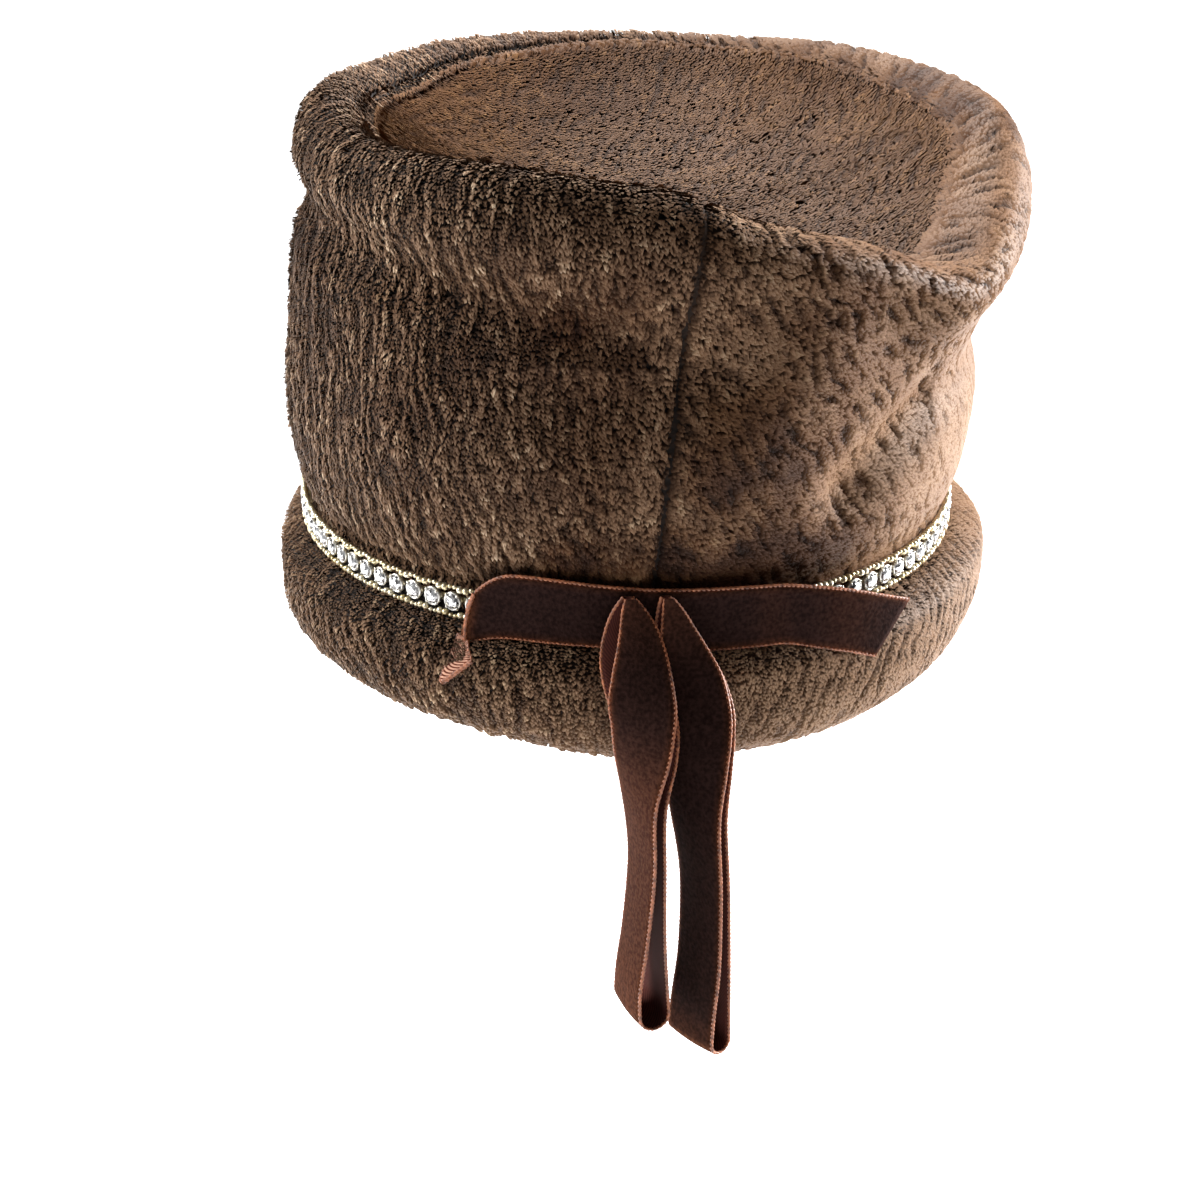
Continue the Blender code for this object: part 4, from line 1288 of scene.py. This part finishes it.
RIGHT_LOOP = np.array([
    (0.000, -0.32, 0.40, 0, 0.20, 0.12, 0.04), (0.026, -0.25, 0.42, 0, 0.26, 0.30, 0.07),
    (0.060, -0.18, 0.46, 0, 0.32, 0.48, 0.08), (0.105, -0.08, 0.54, 3, 0.36, 0.72, 0.06),
    (0.152, 0.04, 0.66, 8, 0.42, 0.90, 0.03), (0.213, 0.12, 0.82, 15, 0.50, 1.00, 0.00),
    (0.270, 0.14, 0.92, 22, 0.50, 1.00, 0.00), (0.330, 0.12, 0.98, 30, 0.46, 1.00, 0.00),
    (0.440, 0.12, 1.00, 46, 0.40, 1.00, 0.00), (0.600, 0.24, 1.00, 56, 0.38, 1.00, 0.00),
    (0.780, 0.26, 1.00, 56, 0.50, 1.00, 0.00), (0.900, 0.22, 1.00, 54, 0.78, 1.00, 0.00),
    (0.970, 0.20, 1.00, 52, 0.92, 1.00, 0.00),
])


def hang(name, table, drop, aside, glow):
    """A loop of ribbon. glow is a table of drops and of how far the velvet is lit there."""
    rows = through(table, np.linspace(0, len(table) - 1, LOOP_ROWS))
    turn = np.radians(rows[:, 3])
    flat = np.zeros(len(rows))
    across = np.stack([np.cos(turn), -np.sin(turn), flat], 1)
    facing = np.stack([-np.sin(turn), -np.cos(turn), flat], 1)
    middle = np.stack([
        aside + RIBBON_WIDTH * rows[:, 1],
        -HALF_LENGTH - LOOP_STAND * rows[:, 2],
        TRIM_LEVEL + LOOP_TOP - drop * rows[:, 0],
    ], 1)
    gap = facing * (LOOP_GAP * rows[:, 4])[:, None]
    lag = np.stack([RIBBON_WIDTH * rows[:, 6], flat, flat], 1)
    half = RIBBON_WIDTH * rows[:, 5] / 2
    front, hind = middle + gap, middle - gap - lag
    centre, reach = (front[-1] + hind[-1]) / 2, (front[-1] - hind[-1]) / 2
    bend_angles = np.linspace(0, math.pi, BEND_STEPS)[1:-1]
    size = np.linalg.norm(reach)
    bend = [centre + reach * math.cos(a) - np.array([0, 0, size * math.sin(a)]) for a in bend_angles]
    line = np.concatenate([front, bend, hind[::-1]])
    sides = np.concatenate([across, np.repeat(across[-1:], len(bend), 0), across[::-1]])
    halves = np.concatenate([half, np.repeat(half[-1:], len(bend)), half[::-1]])[:, None]
    falls = np.concatenate([rows[:, 0], np.ones(len(bend)), rows[::-1, 0]])
    return ribbon(name, line - sides * halves, line + sides * halves, np.interp(falls, *glow), 0.5 * MM)


left_place = -LOOP_SPACING * 0.2
left_loop, left_length = hang(
    "loop_left_look", LEFT_LOOP, LEFT_DROP, left_place,
    ((0.0, 0.15, 0.26, 0.42, 0.8, 1.0), (0.2, 0.03, 0.04, 0.30, 0.34, 0.5)),
)
right_loop, right_length = hang(
    "loop_right_look", RIGHT_LOOP, RIGHT_DROP, left_place + LOOP_SPACING,
    ((0.0, 0.15, 0.4, 0.9, 0.98, 1.0), (0.2, 0.02, 0.0, 0.03, 0.3, 0.6)),
)
print(f"loops {left_length * 1000:.0f} and {right_length * 1000:.0f} mm of ribbon")

ribbon_selvages = new_mesh("ribbon_selvages", *joined(selvages), [woven])

# %% [markdown]
# ## What stands for what
#
# Each dressed piece takes the place of its solid, which is hidden.

# %% Pieces
for piece, node, slot_name in (
    (crown_backing, "crown_wall", "crown_plush"), (tip_backing, "crown_tip", "tip_plush"),
    (cuff_backing, "cuff", "cuff_plush"), (trim, "rhinestone_trim", "pale_gold"),
    (band, "ribbon_band", "brown_velvet"), (left_loop, "ribbon_loop_left", "brown_velvet"),
    (right_loop, "ribbon_loop_right", "brown_velvet"),
):
    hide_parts(node)

# %% [markdown]
# ## Light and ground
#
# The photograph is a bright studio shot on white, with the main light from the upper right.

# %% Light and ground
scene = bpy.context.scene
scene.view_settings.view_transform = "Standard"
world = bpy.data.worlds.new("studio")
world.use_nodes = True
for socket, value in (("Color", linear("#ffffff")), ("Strength", 0.15)):
    world.node_tree.nodes["Background"].inputs[socket].default_value = value
scene.world = world


def area_light(name, place, target, size, power):
    data = bpy.data.lights.new(name, "AREA")
    data.shape = "DISK"
    data.size = size
    data.energy = power
    light_object = new_object(name, data)
    light_object.location = place
    aim = Vector(target) - Vector(place)
    light_object.rotation_euler = aim.to_track_quat("-Z", "Y").to_euler()


HAT_MIDDLE = (0, 0, 0.06)
FLOOR_LEVEL = -0.3
BACKDROP = (0, 4.3, FLOOR_LEVEL)
for name, place, target, size, power in (
    ("right softbox", (1.10, 0.38, 0.26), HAT_MIDDLE, 0.5, 50.0),
    ("left softbox", (-1.20, 0.15, 0.60), HAT_MIDDLE, 0.6, 26.0),
    ("top softbox", (0.10, 0.50, 1.40), HAT_MIDDLE, 0.8, 45.0),
    ("backdrop light", (0.0, 4.0, 3.0), BACKDROP, 3.0, 330.0),
):
    area_light(name, place, target, size, power)

paper, paper_shader = new_material(
    "studio paper, white, lit from below", Roughness=0.95, Specular_IOR_Level=0.1,
    Emission_Color=linear("#ffffff"), Emission_Strength=0.30,
)
grain = noise(paper, own_place(paper), 4.0, 2.0)
paper_colour = ramp(paper, grain, (0.0, "#e9e9e9"), (1.0, "#eeeeee"))
wire(paper, paper_colour, paper_shader.inputs["Base Color"])
floor_data = bpy.data.meshes.new("floor")
floor_data.from_pydata([(-6, -6, 0), (6, -6, 0), (6, 10, 0), (-6, 10, 0)], [], [(0, 1, 2, 3)])
floor_data.materials.append(paper)
floor = new_object("floor", floor_data)
floor.location = (0, 0, FLOOR_LEVEL)
